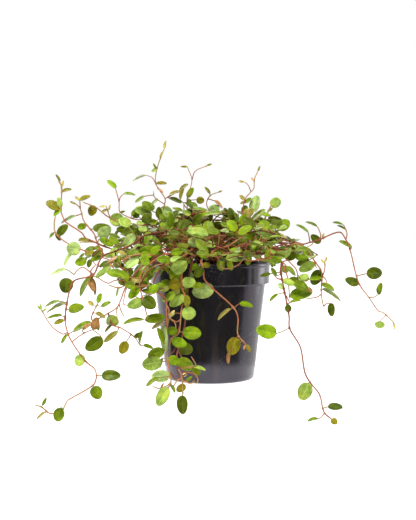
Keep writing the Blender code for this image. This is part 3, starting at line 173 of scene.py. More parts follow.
# Each vine has a route, then its twigs, then its leaves, in millimetres on the front view.
# A route point is across, up and, where it is known, depth behind the plane.
# A leaf is its base, its tip, the width that shows and its tone.
VINES = (
    ("vine_left_crest",
     ((-50, 106, -22), (-75, 110), (-90, 116, -12), (-100, 120), (-109, 123), (-113, 128),
      (-117, 130), (-123, 134), (-127, 137.5), (-129, 141), (-131, 147), (-131, 155),
      (-131, 163), (-130.5, 168), (-131, 171), (-133.5, 175, 6)),
     (),
     ((-132, 173, -135, 179.5, 2.2, "o"), (-130.5, 167, -129, 174, 2, "y"),
      (-130.5, 164, -122, 167, 3, "o"), (-131.5, 150, -133, 159, 5, "p"),
      (-132, 149, -144, 156, 8, "o"), (-131, 149.5, -138, 143.5, 4, "b"),
      (-102, 119.5, -115, 121, 3, "y"), (-97, 123, -85, 117, 6, "b"),
      (-89, 126.5, -79, 124, 3.5, "g"))),
    ("vine_left_tip",
     ((-45, 101, -46), (-65, 103, -36), (-85, 106), (-98, 108.5, -22), (-110, 112), (-118, 115.5),
      (-126, 119), (-131, 122.5), (-136, 128), (-137, 136), (-136, 143, -8)),
     (),
     ((-134, 126, -126, 135, 7, "d"), (-136, 127, -131, 121.5, 4, "d"),
      (-137, 128, -142, 124, 2.5, "b"), (-114, 113, -126.5, 115, 12, "w"),
      (-110, 111, -102, 116, 5, "g"), (-109, 104, -119, 101, 8, "b"),
      (-96, 107, -106, 104, 5, "b"), (-119, 113, -130, 100, 3.5, "w"))),
    ("vine_left_fork",
     ((-58, 112, -5), (-75, 112), (-88, 115, 5), (-98, 118), (-99, 122), (-102, 127),
      (-106, 131), (-109, 135), (-111, 138.5), (-112, 143), (-114, 149), (-117, 152.5),
      (-121, 154.5, 12)),
     (((-114, 149), (-114.2, 153), (-114.5, 156.5)),),
     ((-114.5, 156.5, -105.5, 161.5, 4, "o"), (-114.5, 156.5, -119, 160, 2.5, "y"),
      (-119, 153.5, -123, 155.5, 2, "y"), (-118, 143, -131, 137, 3, "g"),
      (-109, 134.5, -117, 132.5, 6, "g"), (-103, 131.5, -87, 133, 8, "d"),
      (-98, 125, -88, 132, 10, "w"), (-80, 116, -85, 120, 4, "y"))),
    ("vine_left_arch",
     ((-40, 122, 10), (-58, 130), (-75, 136.5), (-88, 141, 18), (-92, 143.5), (-95, 146.5),
      (-100, 150), (-106, 152.5), (-112, 155, 22)),
     (((-88, 141), (-89, 145), (-89.5, 149), (-91, 151)),),
     ((-102, 152, -105, 143, 8, "o"), (-91, 151, -98, 151, 2, "y"),
      (-90, 148.5, -96, 146, 2.5, "y"), (-89, 148, -87.5, 153, 2, "y"),
      (-76, 139, -88.5, 140, 12, "p"), (-71, 131, -82, 131, 7, "d"),
      (-62, 132, -77, 128, 9, "d"))),
    ("vine_left_runner",
     ((-35, 118, -18), (-48, 126), (-60, 124.5), (-68, 118), (-78, 114), (-87, 110.5, -35),
      (-92, 109), (-97, 104), (-100, 97), (-103, 91), (-109, 89), (-117, 87), (-121, 84.5),
      (-123, 80), (-125, 73, -66), (-126, 62), (-128, 52), (-128, 47), (-126, 40),
      (-120, 27.5), (-113, 18), (-107, 11), (-103, 8.5, -88), (-101, 4), (-101, -1, -115),
      (-104, -7, -125), (-110, -11.5), (-120, -17, -147), (-126, -20, -158), (-129, -25, -182),
      (-134, -36, -204)),
     (((-104, 90), (-107, 95), (-112, 97.5), (-117, 95), (-120, 91)),
      ((-126.5, 40), (-130, 38.5), (-135, 41.5), (-140, 45.5), (-144, 51), (-147, 56),
       (-149, 60)),
      ((-123, 33), (-118, 35), (-113, 38.5), (-108, 41), (-104, 42.5)),
      ((-131, -29), (-137, -31), (-142, -32), (-147, -28.5), (-150, -26), (-156, -24.5))),
     ((-126, 88, -128, 75, 12.5, "d"), (-106, 89.5, -116, 73, 5, "g"),
      (-105, 88, -101, 73, 3, "t"), (-101, 89, -88, 98, 5, "p"),
      (-125, 60, -112, 63, 8.5, "g"), (-127, 96, -140, 92.5, 3.5, "w"),
      (-128, 65, -145, 60, 2.5, "g"), (-133, 67.5, -147, 63, 3, "g"),
      (-131, 54.5, -144, 53.5, 2.5, "g"), (-129, 51, -138, 48, 4, "o"),
      (-126, 38, -132, 30.5, 3, "b"), (-121, 41, -106, 50, 5, "g"),
      (-113, 42, -106, 47, 3, "t"), (-103, 42.5, -100, 53, 8, "t"),
      (-95, 34.5, -110, 25, 12, "d"), (-149, 60, -153, 64, 2, "p"),
      (-149, 60, -150, 66, 2, "p"), (-148, 58.5, -144, 62, 2, "p"),
      (-111, 14, -120, 17, 11, "p"), (-96, 2, -80, 2, 10, "d"),
      (-103.5, -8, -98, -19, 11, "g"), (-133, -27, -136, -39.5, 10, "g"),
      (-149, -25, -145, -17.5, 3, "g"), (-146, -31, -155, -37, 2.5, "y"),
      (-66, 126, -77, 115, 9, "w"))),
    ("vine_left_hanging",
     ((-30, 104, -46), (-45, 104, -58), (-58, 100, -62), (-66, 92, -64), (-73, 83), (-76, 77),
      (-79, 71), (-80.5, 66), (-82, 62.5), (-86, 60), (-90, 57, -72), (-97, 53), (-103, 49),
      (-105, 45, -80)),
     (((-103, 49), (-105, 53), (-103, 59), (-100, 63), (-99, 66)),
      ((-90, 57), (-88, 51), (-86, 46.5), (-79, 44), (-75, 41), (-71, 38), (-67, 36),
       (-64, 33), (-62, 29), (-59, 28)),
      ((-73, 83), (-78, 86), (-84, 86), (-90, 83.5), (-95, 86), (-100, 89)),
      ((-74, 82), (-80, 79.5), (-85, 80), (-90, 82))),
     ((-99, 66, -97, 75, 4.5, "b"), (-96, 63, -88, 68, 4, "g"), (-103, 64, -108, 68, 4, "y"),
      (-101, 57, -92, 54, 4.5, "y"), (-90, 54, -81, 47, 9, "p"), (-87, 46, -94, 41, 3, "o"),
      (-82, 41, -94, 32, 5, "o"), (-74, 32, -79, 21, 9, "o"), (-67, 35, -61, 40, 4, "g"),
      (-62, 30, -61, 41, 2.5, "g"), (-59, 28.5, -50, 27, 3.5, "g"),
      (-81, 79, -83, 72, 2, "g"), (-77, 91, -91, 94, 8, "b"))),
    ("vine_top_left",
     ((-28, 112, 15), (-45, 128, 15), (-60, 139.5, 12), (-65, 139.5), (-69, 142), (-74, 144.5),
      (-79, 146), (-80, 150), (-80, 155), (-82, 161), (-83, 167, 4)),
     (((-80, 156), (-79, 159), (-76, 162)),
      ((-55, 134), (-64, 135), (-70, 136), (-74, 137.5))),
     ((-83, 167, -89.5, 175, 4.5, "b"), (-76, 162, -65.5, 162.5, 2.5, "g"),
      (-79, 146, -74.5, 147, 2, "d"), (-69, 143, -66, 149, 2.5, "g"),
      (-51, 144, -66, 149, 8, "p"), (-50, 138.5, -60, 139.5, 5, "d"))),
    ("vine_top_tall",
     ((-15, 110, 5), (-35, 122, 5), (-49, 135, 5), (-46, 138), (-43, 143), (-41, 148),
      (-40, 153), (-39.5, 158), (-43, 163), (-45, 167), (-47.5, 171), (-47.5, 178),
      (-46.5, 184.5), (-45, 190), (-43.5, 195), (-42, 198), (-40, 202, 0)),
     (((-41, 154), (-45, 157.5), (-49, 159.5), (-49.5, 165)),
      ((-40, 156), (-36, 160), (-31, 163), (-27, 164.5)),
      ((-47.5, 173), (-51, 176.5), (-56, 178.5))),
     ((-40, 202, -39.5, 209, 2.5, "y"), (-44, 194, -41, 200, 2, "y"),
      (-46.5, 184.5, -51.5, 181.5, 3, "p"), (-47, 184, -50, 189, 2, "g"),
      (-47, 171.5, -38, 172, 3.2, "o"), (-56, 178.5, -68, 174.5, 1.6, "g"),
      (-45, 167, -41, 163, 2, "r"), (-58, 160, -66, 155, 3, "g"),
      (-46, 158, -52, 152.5, 2.5, "g"), (-36, 161, -26, 166, 3, "o"),
      (-27, 165, -20, 171.5, 3, "o"), (-36, 158.5, -25, 155, 3.5, "d"),
      (-43, 150, -33, 142, 10, "w"), (-39, 131, -52, 130, 6.5, "b"))),
    ("vine_top_pink",
     ((-5, 108, 0), (-20, 118, 0), (-28, 123, -2), (-24, 127), (-23, 131), (-22.5, 140),
      (-22.5, 148), (-23, 154, -8)),
     (((-23, 131), (-20, 140), (-20, 150), (-20, 158), (-18, 163), (-17, 168), (-16, 174),
       (-17, 177), (-19, 181), (-20, 186)),
      ((-16, 175), (-15, 179), (-13, 182), (-10, 184), (-6, 186), (-2, 187))),
     ((-20, 186, -26, 186, 2, "o"), (-3, 187, 2, 188.5, 1.8, "o"),
      (-20, 159, -15, 167.5, 5, "g"), (-12, 157, -5, 156, 6.5, "o"),
      (-14, 141, -1, 142, 2.5, "d"), (-20, 148, -2, 149, 2.5, "g"),
      (-24, 133, -34, 133.5, 9, "p"), (-31, 140.5, -39, 124, 3.5, "y"),
      (-24, 147, -33, 150.5, 3, "g"), (-33, 121, -44, 116, 4, "w"),
      (-28, 121, -17, 118, 5, "y"))),
    ("vine_top_middle",
     ((5, 108, 20), (4, 125, 20), (2, 141, 18), (-1, 148), (-3, 153), (-1, 157), (0, 160.5),
      (3, 162), (7, 163.5, 14)),
     (),
     ((0, 162, -4, 168.5, 2.5, "o"), (7, 163.5, 11, 165, 1.6, "y"),
      (-1, 146, 8, 151, 9, "w"), (4, 156, 12, 150.5, 3, "t"), (13, 140, 11, 148, 2.5, "g"))),
    ("vine_top_right",
     ((8, 112, 5), (8, 121, 0), (12, 124.5), (18, 126), (23, 129), (27, 133), (29, 138),
      (29, 148), (30, 154), (31, 158), (33, 160), (36, 164), (38.5, 167), (39.5, 171),
      (39, 175), (40, 179), (42, 182, -5)),
     (((36, 164.5), (34, 168), (33, 170.5), (30, 172.5)),),
     ((30, 172.5, 24.5, 173.5, 2, "y"), (38.5, 173.5, 36, 176.5, 2, "r"),
      (30.5, 157, 26, 161, 3.5, "y"), (30.5, 155.5, 26.5, 153.5, 2.5, "y"),
      (31, 154, 36, 159, 3.5, "g"), (38, 146, 41, 161, 9, "w"), (29, 145.5, 32, 152, 6, "d"),
      (29.5, 143, 38, 148, 8, "y"), (37, 139.5, 48, 149, 4.5, "g"),
      (20, 138, 17.5, 150, 7, "d"), (25, 137, 22, 146, 3, "g"), (42, 182, 44, 187, 2, "y"))),
    ("vine_crown_left",
     ((-25, 108, -34), (-38, 106, -52), (-50, 108, -58), (-60, 109), (-70, 107.5, -60),
      (-76, 104), (-80, 99, -57)),
     (),
     ((-47, 112, -64, 110, 11, "b"), (-52, 109, -45, 116, 7, "b"), (-62, 108, -73, 112, 7, "g"),
      (-63, 105.5, -75, 98, 8, "w"), (-55, 100, -67, 92, 9, "w"), (-75, 109, -81, 112, 4, "y"),
      (-80, 108, -82, 102, 3, "b"), (-81, 107, -92, 102, 3, "t"))),
    ("vine_crown_middle",
     ((-10, 112, -38), (-18, 110, -54), (-26, 106, -61), (-33, 103, -63), (-38, 100),
      (-44, 100, -66), (-50, 98), (-57, 93), (-60, 87, -68)),
     (),
     ((-24, 112, -35, 110, 7, "b"), (-34, 104, -47, 105, 7, "b"), (-38, 99, -29, 102, 8, "p"),
      (-33, 94, -21, 102, 12, "p"), (-42, 100, -36, 93, 3, "o"), (-42, 98, -52, 92, 2.5, "b"),
      (-57, 92, -52, 87, 4, "d"), (-60, 86, -70, 86, 5, "y"))),
    ("vine_crown_front",
     ((3, 108, -36), (4, 115, -48), (10, 115, -54), (16, 116.5), (21, 119), (25, 123),
      (31, 126), (35, 129), (38, 131.5, -42)),
     (),
     ((5, 117, -8, 119, 6, "p"), (-8, 118, -20, 121, 9, "w"), (8, 128, -3, 130.5, 6, "g"),
      (17, 113, 29, 112, 4, "b"), (2, 111, 14, 109.5, 6, "o"),
      (25, 127, 36, 134, 7, "b"), (-1, 127, -20, 130.5, 8, "p"))),
    ("vine_rim_loop",
     ((18, 108, -42), (26, 117, -56), (31.7, 117, -62), (31, 112), (29.3, 107.7, -66), (26, 101),
      (17.4, 96.7), (9.7, 97.2), (8.4, 102, -66)),
     (((29.3, 105), (33, 103.5), (40, 104), (48, 105), (55, 106)),
      ((48, 105), (52, 107), (53, 111), (49, 116))),
     ((29, 106, 14, 106, 7.5, "p"), (49, 105, 51, 113, 4, "g"), (52, 105, 63, 103, 7, "g"))),
    ("vine_right_short",
     ((25, 108, -5), (35, 118, -8), (42, 128), (46, 136), (48, 141.5), (51, 146.5),
      (52.5, 150, 0)),
     (((44, 132), (50, 135.5), (55, 133), (60, 129), (61, 127)),),
     ((53.5, 151.5, 62, 158, 9, "p"), (51.5, 147, 55, 150, 2.5, "y"),
      (47.5, 140, 35, 132, 7, "p"), (52, 137, 63, 138, 5, "d"), (60, 131, 70, 139, 10, "g"),
      (55, 132, 47, 122, 10, "p"), (60, 126, 62, 118, 5, "y"), (61, 127, 68, 123, 2.5, "y"))),
    ("vine_right_arch",
     ((30, 108, -14), (42, 113, -16), (56, 119, -14), (66, 117.8), (75, 118), (82, 118),
      (88, 119.5), (95, 121.5), (100, 122.5), (106, 125.5), (111, 128), (114, 128.5),
      (117, 126), (119.5, 122), (121, 118), (123, 114), (125, 107), (127, 99), (129, 93),
      (131, 84), (135, 78), (140, 71), (145, 64), (149, 58.5), (152, 58), (155, 55),
      (158, 52), (161, 50), (163, 46, 5)),
     (((88, 119.5), (86.5, 123), (86.5, 128)), ((97, 122), (97.5, 125), (95, 132.5)),
      ((119.5, 122), (120.5, 127), (118, 134)), ((140, 71), (144, 71), (147.5, 73)),
      ((56, 119), (48, 121), (40, 121.5))),
     ((86.5, 128, 76.5, 136, 2.5, "g"), (94.5, 133, 84, 138, 1.8, "g"),
      (97, 119, 89, 126, 7, "d"), (99, 123, 100, 128, 2, "y"),
      (117, 135, 108, 137.5, 1.8, "g"), (119, 131, 112, 135, 2, "g"),
      (125, 115, 114, 121, 3.5, "g"), (138, 92, 152, 93, 11, "d"), (131, 83, 120, 87, 8, "d"),
      (148.5, 73.5, 150, 84, 5, "g"), (150, 50, 149.5, 43.5, 9, "p"),
      (162, 48, 163.5, 42, 2, "y"))),
    ("vine_right_drop",
     ((35, 108, -30), (55, 113, -34), (70, 117, -34), (80, 117.5), (83, 115), (88, 109),
      (91, 104), (95, 99), (98, 94), (98.5, 88), (98, 80), (98, 74), (99, 68), (100, 63, -40)),
     (((100, 64.5), (103, 65.8), (106, 65.5)), ((97.5, 74.5), (95, 71.5), (90, 70), (84, 69.5)),
      ((98.5, 90), (101, 96), (101, 102))),
     ((107, 66, 106.5, 54, 6.5, "d"), (84, 114.5, 93, 106.5, 4, "d"),
      (88, 109, 75, 106, 8, "b"), (70, 113, 58, 107, 10, "p"), (76, 114, 66, 104, 11, "d"),
      (92, 101, 78, 95, 9, "p"), (97, 95, 90, 82, 10.5, "d"), (98, 89, 88, 88, 4, "b"),
      (87, 87, 79, 89, 6, "y"), (98, 83, 110, 78, 4.5, "b"), (99, 78, 116, 69, 2.5, "g"),
      (101, 102, 103, 107, 2, "y"), (101, 101, 97, 105, 2, "y"))),
    ("vine_right_runner",
     ((30, 106, -50), (45, 110, -58), (57, 108, -64), (63, 102, -68), (62, 95), (63, 88),
      (65, 78), (67, 66), (68, 62), (69.5, 55), (69, 50), (70, 44, -82), (73, 38), (77, 33),
      (79.5, 27), (81.5, 19), (83, 10), (83.5, 5, -114), (86, 0), (88, -4, -126), (92, -9),
      (96, -14, -138), (98, -20), (99, -26, -170), (101, -32, -190), (104, -35),
      (107, -37, -211)),
     (((63, 101), (67, 93), (69, 84), (70, 76), (70, 70)),),
     ((58.5, 39, 41, 43, 13, "b"), (87, -5, 80, -20, 13, "p"), (104, -26, 117, -26, 6.5, "d"),
      (107, -37, 112, -41, 6, "o"), (96, -37, 86, -38, 2, "g"), (69, 58, 68.5, 65, 6, "d"),
      (60, 74, 52, 68, 2.5, "g"), (70, 66, 80, 69, 2, "g"), (53, 92, 44, 90, 3.5, "g"),
      (58, 90, 54, 97, 4, "g"), (67, 98, 76, 91, 4.5, "g"), (69, 86, 78, 87, 6, "d"),
      (64, 86, 75, 83, 6, "p"), (65, 79, 60, 83, 5, "w"), (71, 71, 90, 78, 11, "b"))),
    ("vine_front_pot",
     ((-6, 111, -42), (-9, 107, -56), (-7, 100, -62), (-6, 95), (-5, 90), (-4.5, 86), (-2, 83),
      (2, 80), (6, 76.5), (10, 73), (15, 68.5), (19, 64), (21, 61.5), (22.5, 57), (24.5, 53),
      (24, 48), (24, 42), (24.5, 38), (26, 35), (29, 31.5), (32, 29, -54)),
     (),
     ((26, 65.5, 38, 64, 5, "b"), (18, 60.5, 6.5, 51.5, 3, "y"), (23, 35.5, 18, 20, 12, "o"),
      (32, 29, 36, 22.5, 3.5, "o"), (31, 29, 29.5, 24.5, 1.8, "r"), (3, 79, -17, 74.5, 14, "w"),
      (-7, 98, -13, 89, 8, "d"), (-6, 100, 0, 99, 5, "o"),
      (-1, 110, -10, 109.5, 10, "b"))),
    ("vine_front_middle",
     ((-12, 110, -42), (-18, 106, -58), (-24, 97, -64), (-25, 88), (-25, 80), (-23.5, 75),
      (-22, 71), (-24, 66, -62), (-25, 62), (-25, 57), (-26, 53), (-27, 49), (-27, 43),
      (-29, 38), (-34, 35), (-36, 30), (-36.5, 25, -60)),
     (),
     ((-24, 92, -10, 103, 8.5, "b"), (-25, 84, -13, 84.5, 10, "p"), (-26, 83, -37, 82, 11, "o"),
      (-22, 71, -37, 65, 9.5, "p"), (-21, 73, -20, 62, 6, "o"), (-25, 57, -12.5, 57, 12, "p"),
      (-31, 57, -37, 53.5, 3, "p"), (-24, 40, -7.5, 39, 12, "b"), (-29, 41, -38, 41.5, 8, "b"),
      (-34, 33, -21, 29, 9, "b"))),
    ("vine_cascade_main",
     ((-20, 110, -46), (-32, 107, -60), (-42, 99, -68), (-48, 90, -70), (-50, 82), (-47, 76),
      (-42, 72.5), (-39, 68), (-39, 60), (-39, 52), (-38.5, 45), (-38, 36), (-38, 28),
      (-38, 20, -66), (-37, 12, -73), (-36, 5, -86), (-35, 0, -103), (-35, -5, -127),
      (-37, -9, -148)),
     (),
     ((-50, 80, -42, 83.5, 3.5, "b"), (-46, 77, -37, 80, 3, "y"), (-40, 50, -52, 43.5, 4, "y"),
      (-40, 46, -42, 23, 7, "w"), (-41, 24, -55, 19, 10, "g"), (-43, 14, -61, 11, 13, "p"),
      (-37, 17, -27, 13, 9, "b"), (-36, 1.5, -52, 1, 11, "w"), (-46, 0, -57, -7, 4, "g"),
      (-38, -9, -47, -25, 11, "p"), (-35, -6, -31, -13, 3, "g"))),
    ("vine_cascade_left",
     ((-32, 110, -50), (-50, 103, -66), (-58, 96, -74), (-62, 88, -76), (-62, 80), (-60, 72, -77),
      (-59, 66), (-57, 58), (-55, 52, -76)),
     (((-62, 80), (-67, 80.5), (-72, 82), (-73, 78), (-75, 72), (-77, 66)),),
     ((-62, 79, -73, 71, 8, "b"), (-59, 68, -73, 63, 9.5, "p"), (-59, 71, -49, 62, 12, "d"),
      (-57, 50, -40, 56, 9, "g"), (-58, 51, -77, 49, 1.8, "g"))),
    ("vine_cascade_low",
     ((-2, 110, -40), (-12, 106, -59), (-17, 98, -62), (-19, 88, -60), (-20, 76), (-21, 64),
      (-22, 50, -56), (-24, 38), (-27, 28, -58), (-30, 20), (-30, 13), (-28.5, 8, -66),
      (-26, 4, -78), (-25, -2, -104), (-24, -6, -128), (-24.5, -14, -170)),
     (((-28, 9), (-22, 9.5), (-15, 9.5)),
      ((-26, 4), (-20, 4.5), (-14, 3), (-11, -1), (-11.5, -5), (-15, -4))),
     ((-28, 27, -15, 24, 11, "d"), (-28, 16, -15, 7, 11, "g"), (-16, 8, -8, 3, 6, "g"),
      (-15, 9.5, -4, 7, 3, "p"), (-25, -16, -25, -33, 10, "d"), (-22, -7, -30, -12, 7, "o"),
      (-21, -3, -16, 1, 3, "g"))),
)

# The vines behind the crown follow a rule: they fan out over the back of the rim.
BACK_VINES = 9
BACK_SEED = 7
BACK_FIRST_ANGLE = 24
BACK_SPREAD = 132
BACK_PARTS = (0.16, 0.34, 0.5, 0.64, 0.76, 0.87, 1.0)
BACK_START = 0.030
BACK_OUTWARD = 1.35
BACK_PEAK_AT = 0.5
BACK_REACH = (0.074, 0.034)
BACK_PEAK = (0.118, 0.020)
BACK_END = (0.100, 0.020)
BACK_HANGING_END = (0.030, 0.040)
HANGS_BEYOND = 0.88
BACK_FIRST_HEIGHT = 0.108
BACK_SWAY = 0.25
BACK_WAVES = 9
BACK_WAVE = 0.05
BACK_FALL = 1.4
BACK_LEAF_SEED = 100
BACK_LEAF_TONES = "gggdbbypo"
BACK_LEAF_WALK = (0.030, 0.022)
BACK_LEAF_TRIES = 8
BACK_ALONG = (0, 0.8)
BACK_RISE = (-0.2, 0.9)
BACK_TURN = ((-0.4, 0.4), (-0.4, 0.4), (-0.6, 0.2))
BACK_FACING = ((-0.5, 0.5), (-0.5, 0.5), (1, 1))
BACK_STALKS = (0.003, 0.007)
BACK_LENGTHS = (0.010, 0.016)
BACK_ROUNDNESS = (0.75, 0.95)

# Camera
CAMERA_SHIFT = -0.0018
CAMERA_PITCH = 0.03667
LENS = 70.8
SENSOR = 36
NEAREST_SEEN = 0.02

# Round stems: the radius at the foot and at the tip, and the swelling where a leaf springs from them
MAIN_WIRE = (0.00074, 0.00052)
TWIG_WIRE = (0.00054, 0.00044)
TANGLE_WIRE = (0.00058, 0.00044)
STALK_WIRE = (0.00052, 0.00046)
WIRE_STEP = 0.0016
WIRE_SIDES = 8
WIRE_LIFT = 0.0002
WIRE_END = 0.5
KNOT_REACH = 0.0011
KNOT_SWELL = 0.65
STALK_STEP = 0.0012
STALK_SIDES = 6
STALK_AGE = 0.5
STALK_FOOT = 0.015
STALK_INWARD = (0, -0.18, -0.02)
BENT_STALK = 0.002
STALK_BEND = 0.25
THINNEST_STALK = 0.80
FULL_STALK_LEAF = 0.010
TUBE_SHADE = 0.5

# Blades: rows and columns of corners, thickness, and shares of the width or the length
BLADE_ROWS = 10
BLADE_HALF_COLUMNS = 4
BLADE_MIDDLE = 0.00034
BLADE_EDGE = 0.00016
EDGE_SLOPE = 3
END_SLOPE = 8
SLIM_FROM = 0.2
SLIM_SPAN = 0.4
SWELL = (0.86, -0.10)
BLUNTNESS = (0.47, 0.34)
NARROWEST = 0.035
FOLDS = (0.4, 1.5)
DROOPS = (0.5, 1.5)
TWIST = 0.10
EDGE_WAVES = (1.5, 3.0)
EDGE_RIPPLE = 0.022
EDGE_RIPPLES = (0.4, 1.3)
KEEL = 0.08
QUILT_HEIGHT = 0.012
QUILT_WAVES = 5.2
QUILT_SWEEP = 0.25
RIB_DEPTH = 0.018
RIB_WIDTH = 0.16
LEAF_SHADES = (0.15, 0.85)
BLADE_SEED = 500

# A leaf that faces the camera less than this is cupped more
EDGE_ON = 0.45
CUPPED = 2.6

# The mound of the crown as half its width, half its depth, its lowest height over the soil, its height
# at the edge and how much higher it is in the middle
MOUND = (0.098, 0.082, 0.014, 0.106, 0.044)

# Thickets of the front view, in millimetres: centre across and up, half width, half height and the
# share of each thicket that leaves cover
THICKETS = (
    (-5, 122, 62, 25, 0.85), (-45, 102, 46, 26, 0.8), (-30, 84, 24, 17, 0.7), (-52, 134, 30, 13, 0.6),
    (32, 134, 24, 15, 0.7), (-88, 108, 22, 16, 0.4), (68, 106, 20, 11, 0.45), (80, 90, 14, 14, 0.25),
    (-56, 149, 6, 4, 0.7), (-18, 149, 5, 6, 0.6),
)
# Openings in the thickets where the photograph shows the pot or the light behind
CLEARINGS = (
    (-48, 88, 7, 6), (-46, 72, 4, 9), (-66, 106, 6, 4), (-40, 113, 5, 3), (5, 112, 4, 2), (3, 142, 5, 5),
)

# The cells of a view, how many stay open round a gap, and the spots of a blade that cover cells
CELL = 0.0016
GAP_CELLS = 2
COVER_ROWS = 9
COVER_HALF_COLUMNS = 4
COVER_SLIMNESS = 0.3

# The leaves that fill the thickets, and how thick a leaf of the looks alone counts
THIN_BLADE = 0.0006
FILL_SEED = 21
FILL_WALK = (0.004, 0.003)
FILL_TRIES = 7
FILL_NEAREST = 0.003
FILL_REACH = 0.016
FILL_DEPTHS = (-0.004, 0.010)
FILL_LENGTHS = (0.008, 0.0140)
FILL_SCATTER = 0.35
FILL_STALK = 0.012
FILL_FACING = ((-0.5, 0.5), (-0.2, -1.0), (0.3, 1.1))
FILL_ROUNDNESS = (0.68, 0.92)
# Many fill leaves take the dark tone d, painted shade for the leaves inside the crown
FILL_TONES = "gggggggbbbddddpp"

# The leaves behind the crown, where the front view hides them
REAR_SEED = 22
REAR_WALK = (0.022, 0.0075)
REAR_TRIES = 6
REAR_FROM = 0.004
REAR_OVER_SOIL = 0.012
REAR_ALONG = (0, 0.9)
REAR_RISE = (-0.2, 0.9)
REAR_STALKS = (0.003, 0.006)
REAR_LENGTHS = (0.009, 0.014)
REAR_SCATTER = 0.4
REAR_FACING = ((-0.6, 0.6), (-0.2, 0.8), (1, 1))
REAR_OVERLAP = 0.6
HIDDEN_TOP = 0.146
HIDDEN_SIDE = 0.085
BEHIND_POT = 0.040
LOWEST_REAR_LEAF = 0.016
ROUND_LEAF = (0.72, 0.95)

# The leaves over the crown, where it is bare from above
TOP_SEED = 23
TOP_WALK = (0.004, 0.0025)
TOP_TRIES = 5
TOP_RISE = (-0.2, 0.5)
TOP_STALKS = (0.002, 0.007)
TOP_FACING = ((-0.5, 0.5), (-0.6, 0.4), (1, 1))
TOP_LENGTHS = (0.0095, 0.0145)
TOP_OVERLAP = 0.45
FRONT_OVERLAP = 0.85

# The young leaves at the ends of the vines behind the crown
TIP_SEED = 24
TIP_SIDES = (-1, 1, -0.3)
TIP_SPREAD = (0.5, 0.9)
TIP_LENGTHS = (0.005, 0.0075)
TIP_STALK = 0.0016
TIP_WIDTH = 0.6
TIP_FACING = ((-0.5, 0.5), (1, 1), (0.6, 0.6))

# Thin leafless twigs that tangle through the crown
TANGLE_SEED = 31
TANGLE_WALK = (0.02, 0.008)
TANGLE_TWIGS = 210
TANGLE_TRIES = 6
TANGLE_STEP = 0.006
TANGLE_STEPS = (4, 9)
TANGLE_HEADING = ((-1, 1), (-1, 0.6), (-0.1, 0.7))
TANGLE_BEND = ((-1, 1), (-1, 1), (-0.8, 0.4))
TANGLE_BENDING = 0.22
TANGLE_SCATTER = 0.15
TANGLE_SHORTEST = 4
# The twigs' bark ages start low, so they are dark red-brown: partly old bark, partly painted shade in the
# crown's core
TANGLE_BARK_AND_SHADE_AGES = ((0.0, 0.4), (0.35, 0.8))

# Where the bark's age starts and ends along each paler stem, along the other stems and along twigs
BARK_AGES = {
    "vine_front_pot": (0.5, 0.76), "vine_rim_loop": (0.5, 0.8), "vine_right_drop": (0.2, 1.0),
    "vine_right_arch": (0.2, 0.95), "vine_top_left": (0.3, 0.95), "vine_top_middle": (0.4, 0.9),
    "vine_top_pink": (0.35, 0.95), "vine_top_right": (0.4, 0.85), "vine_top_tall": (0.4, 1.0),
    "vine_left_crest": (0.25, 0.9), "vine_left_tip": (0.25, 0.9), "vine_left_runner": (0.25, 0.9),
    "vine_right_runner": (0.12, 0.66),
}
WHOLE_AGE = (0.0, 1.0)
TWIG_AGES = (0.5, 0.95)

# The shoots on top are thinner than the rest
SLENDER_VINES = ("vine_top_left", "vine_top_tall", "vine_top_pink", "vine_top_middle", "vine_top_right")
SLENDER = 0.8

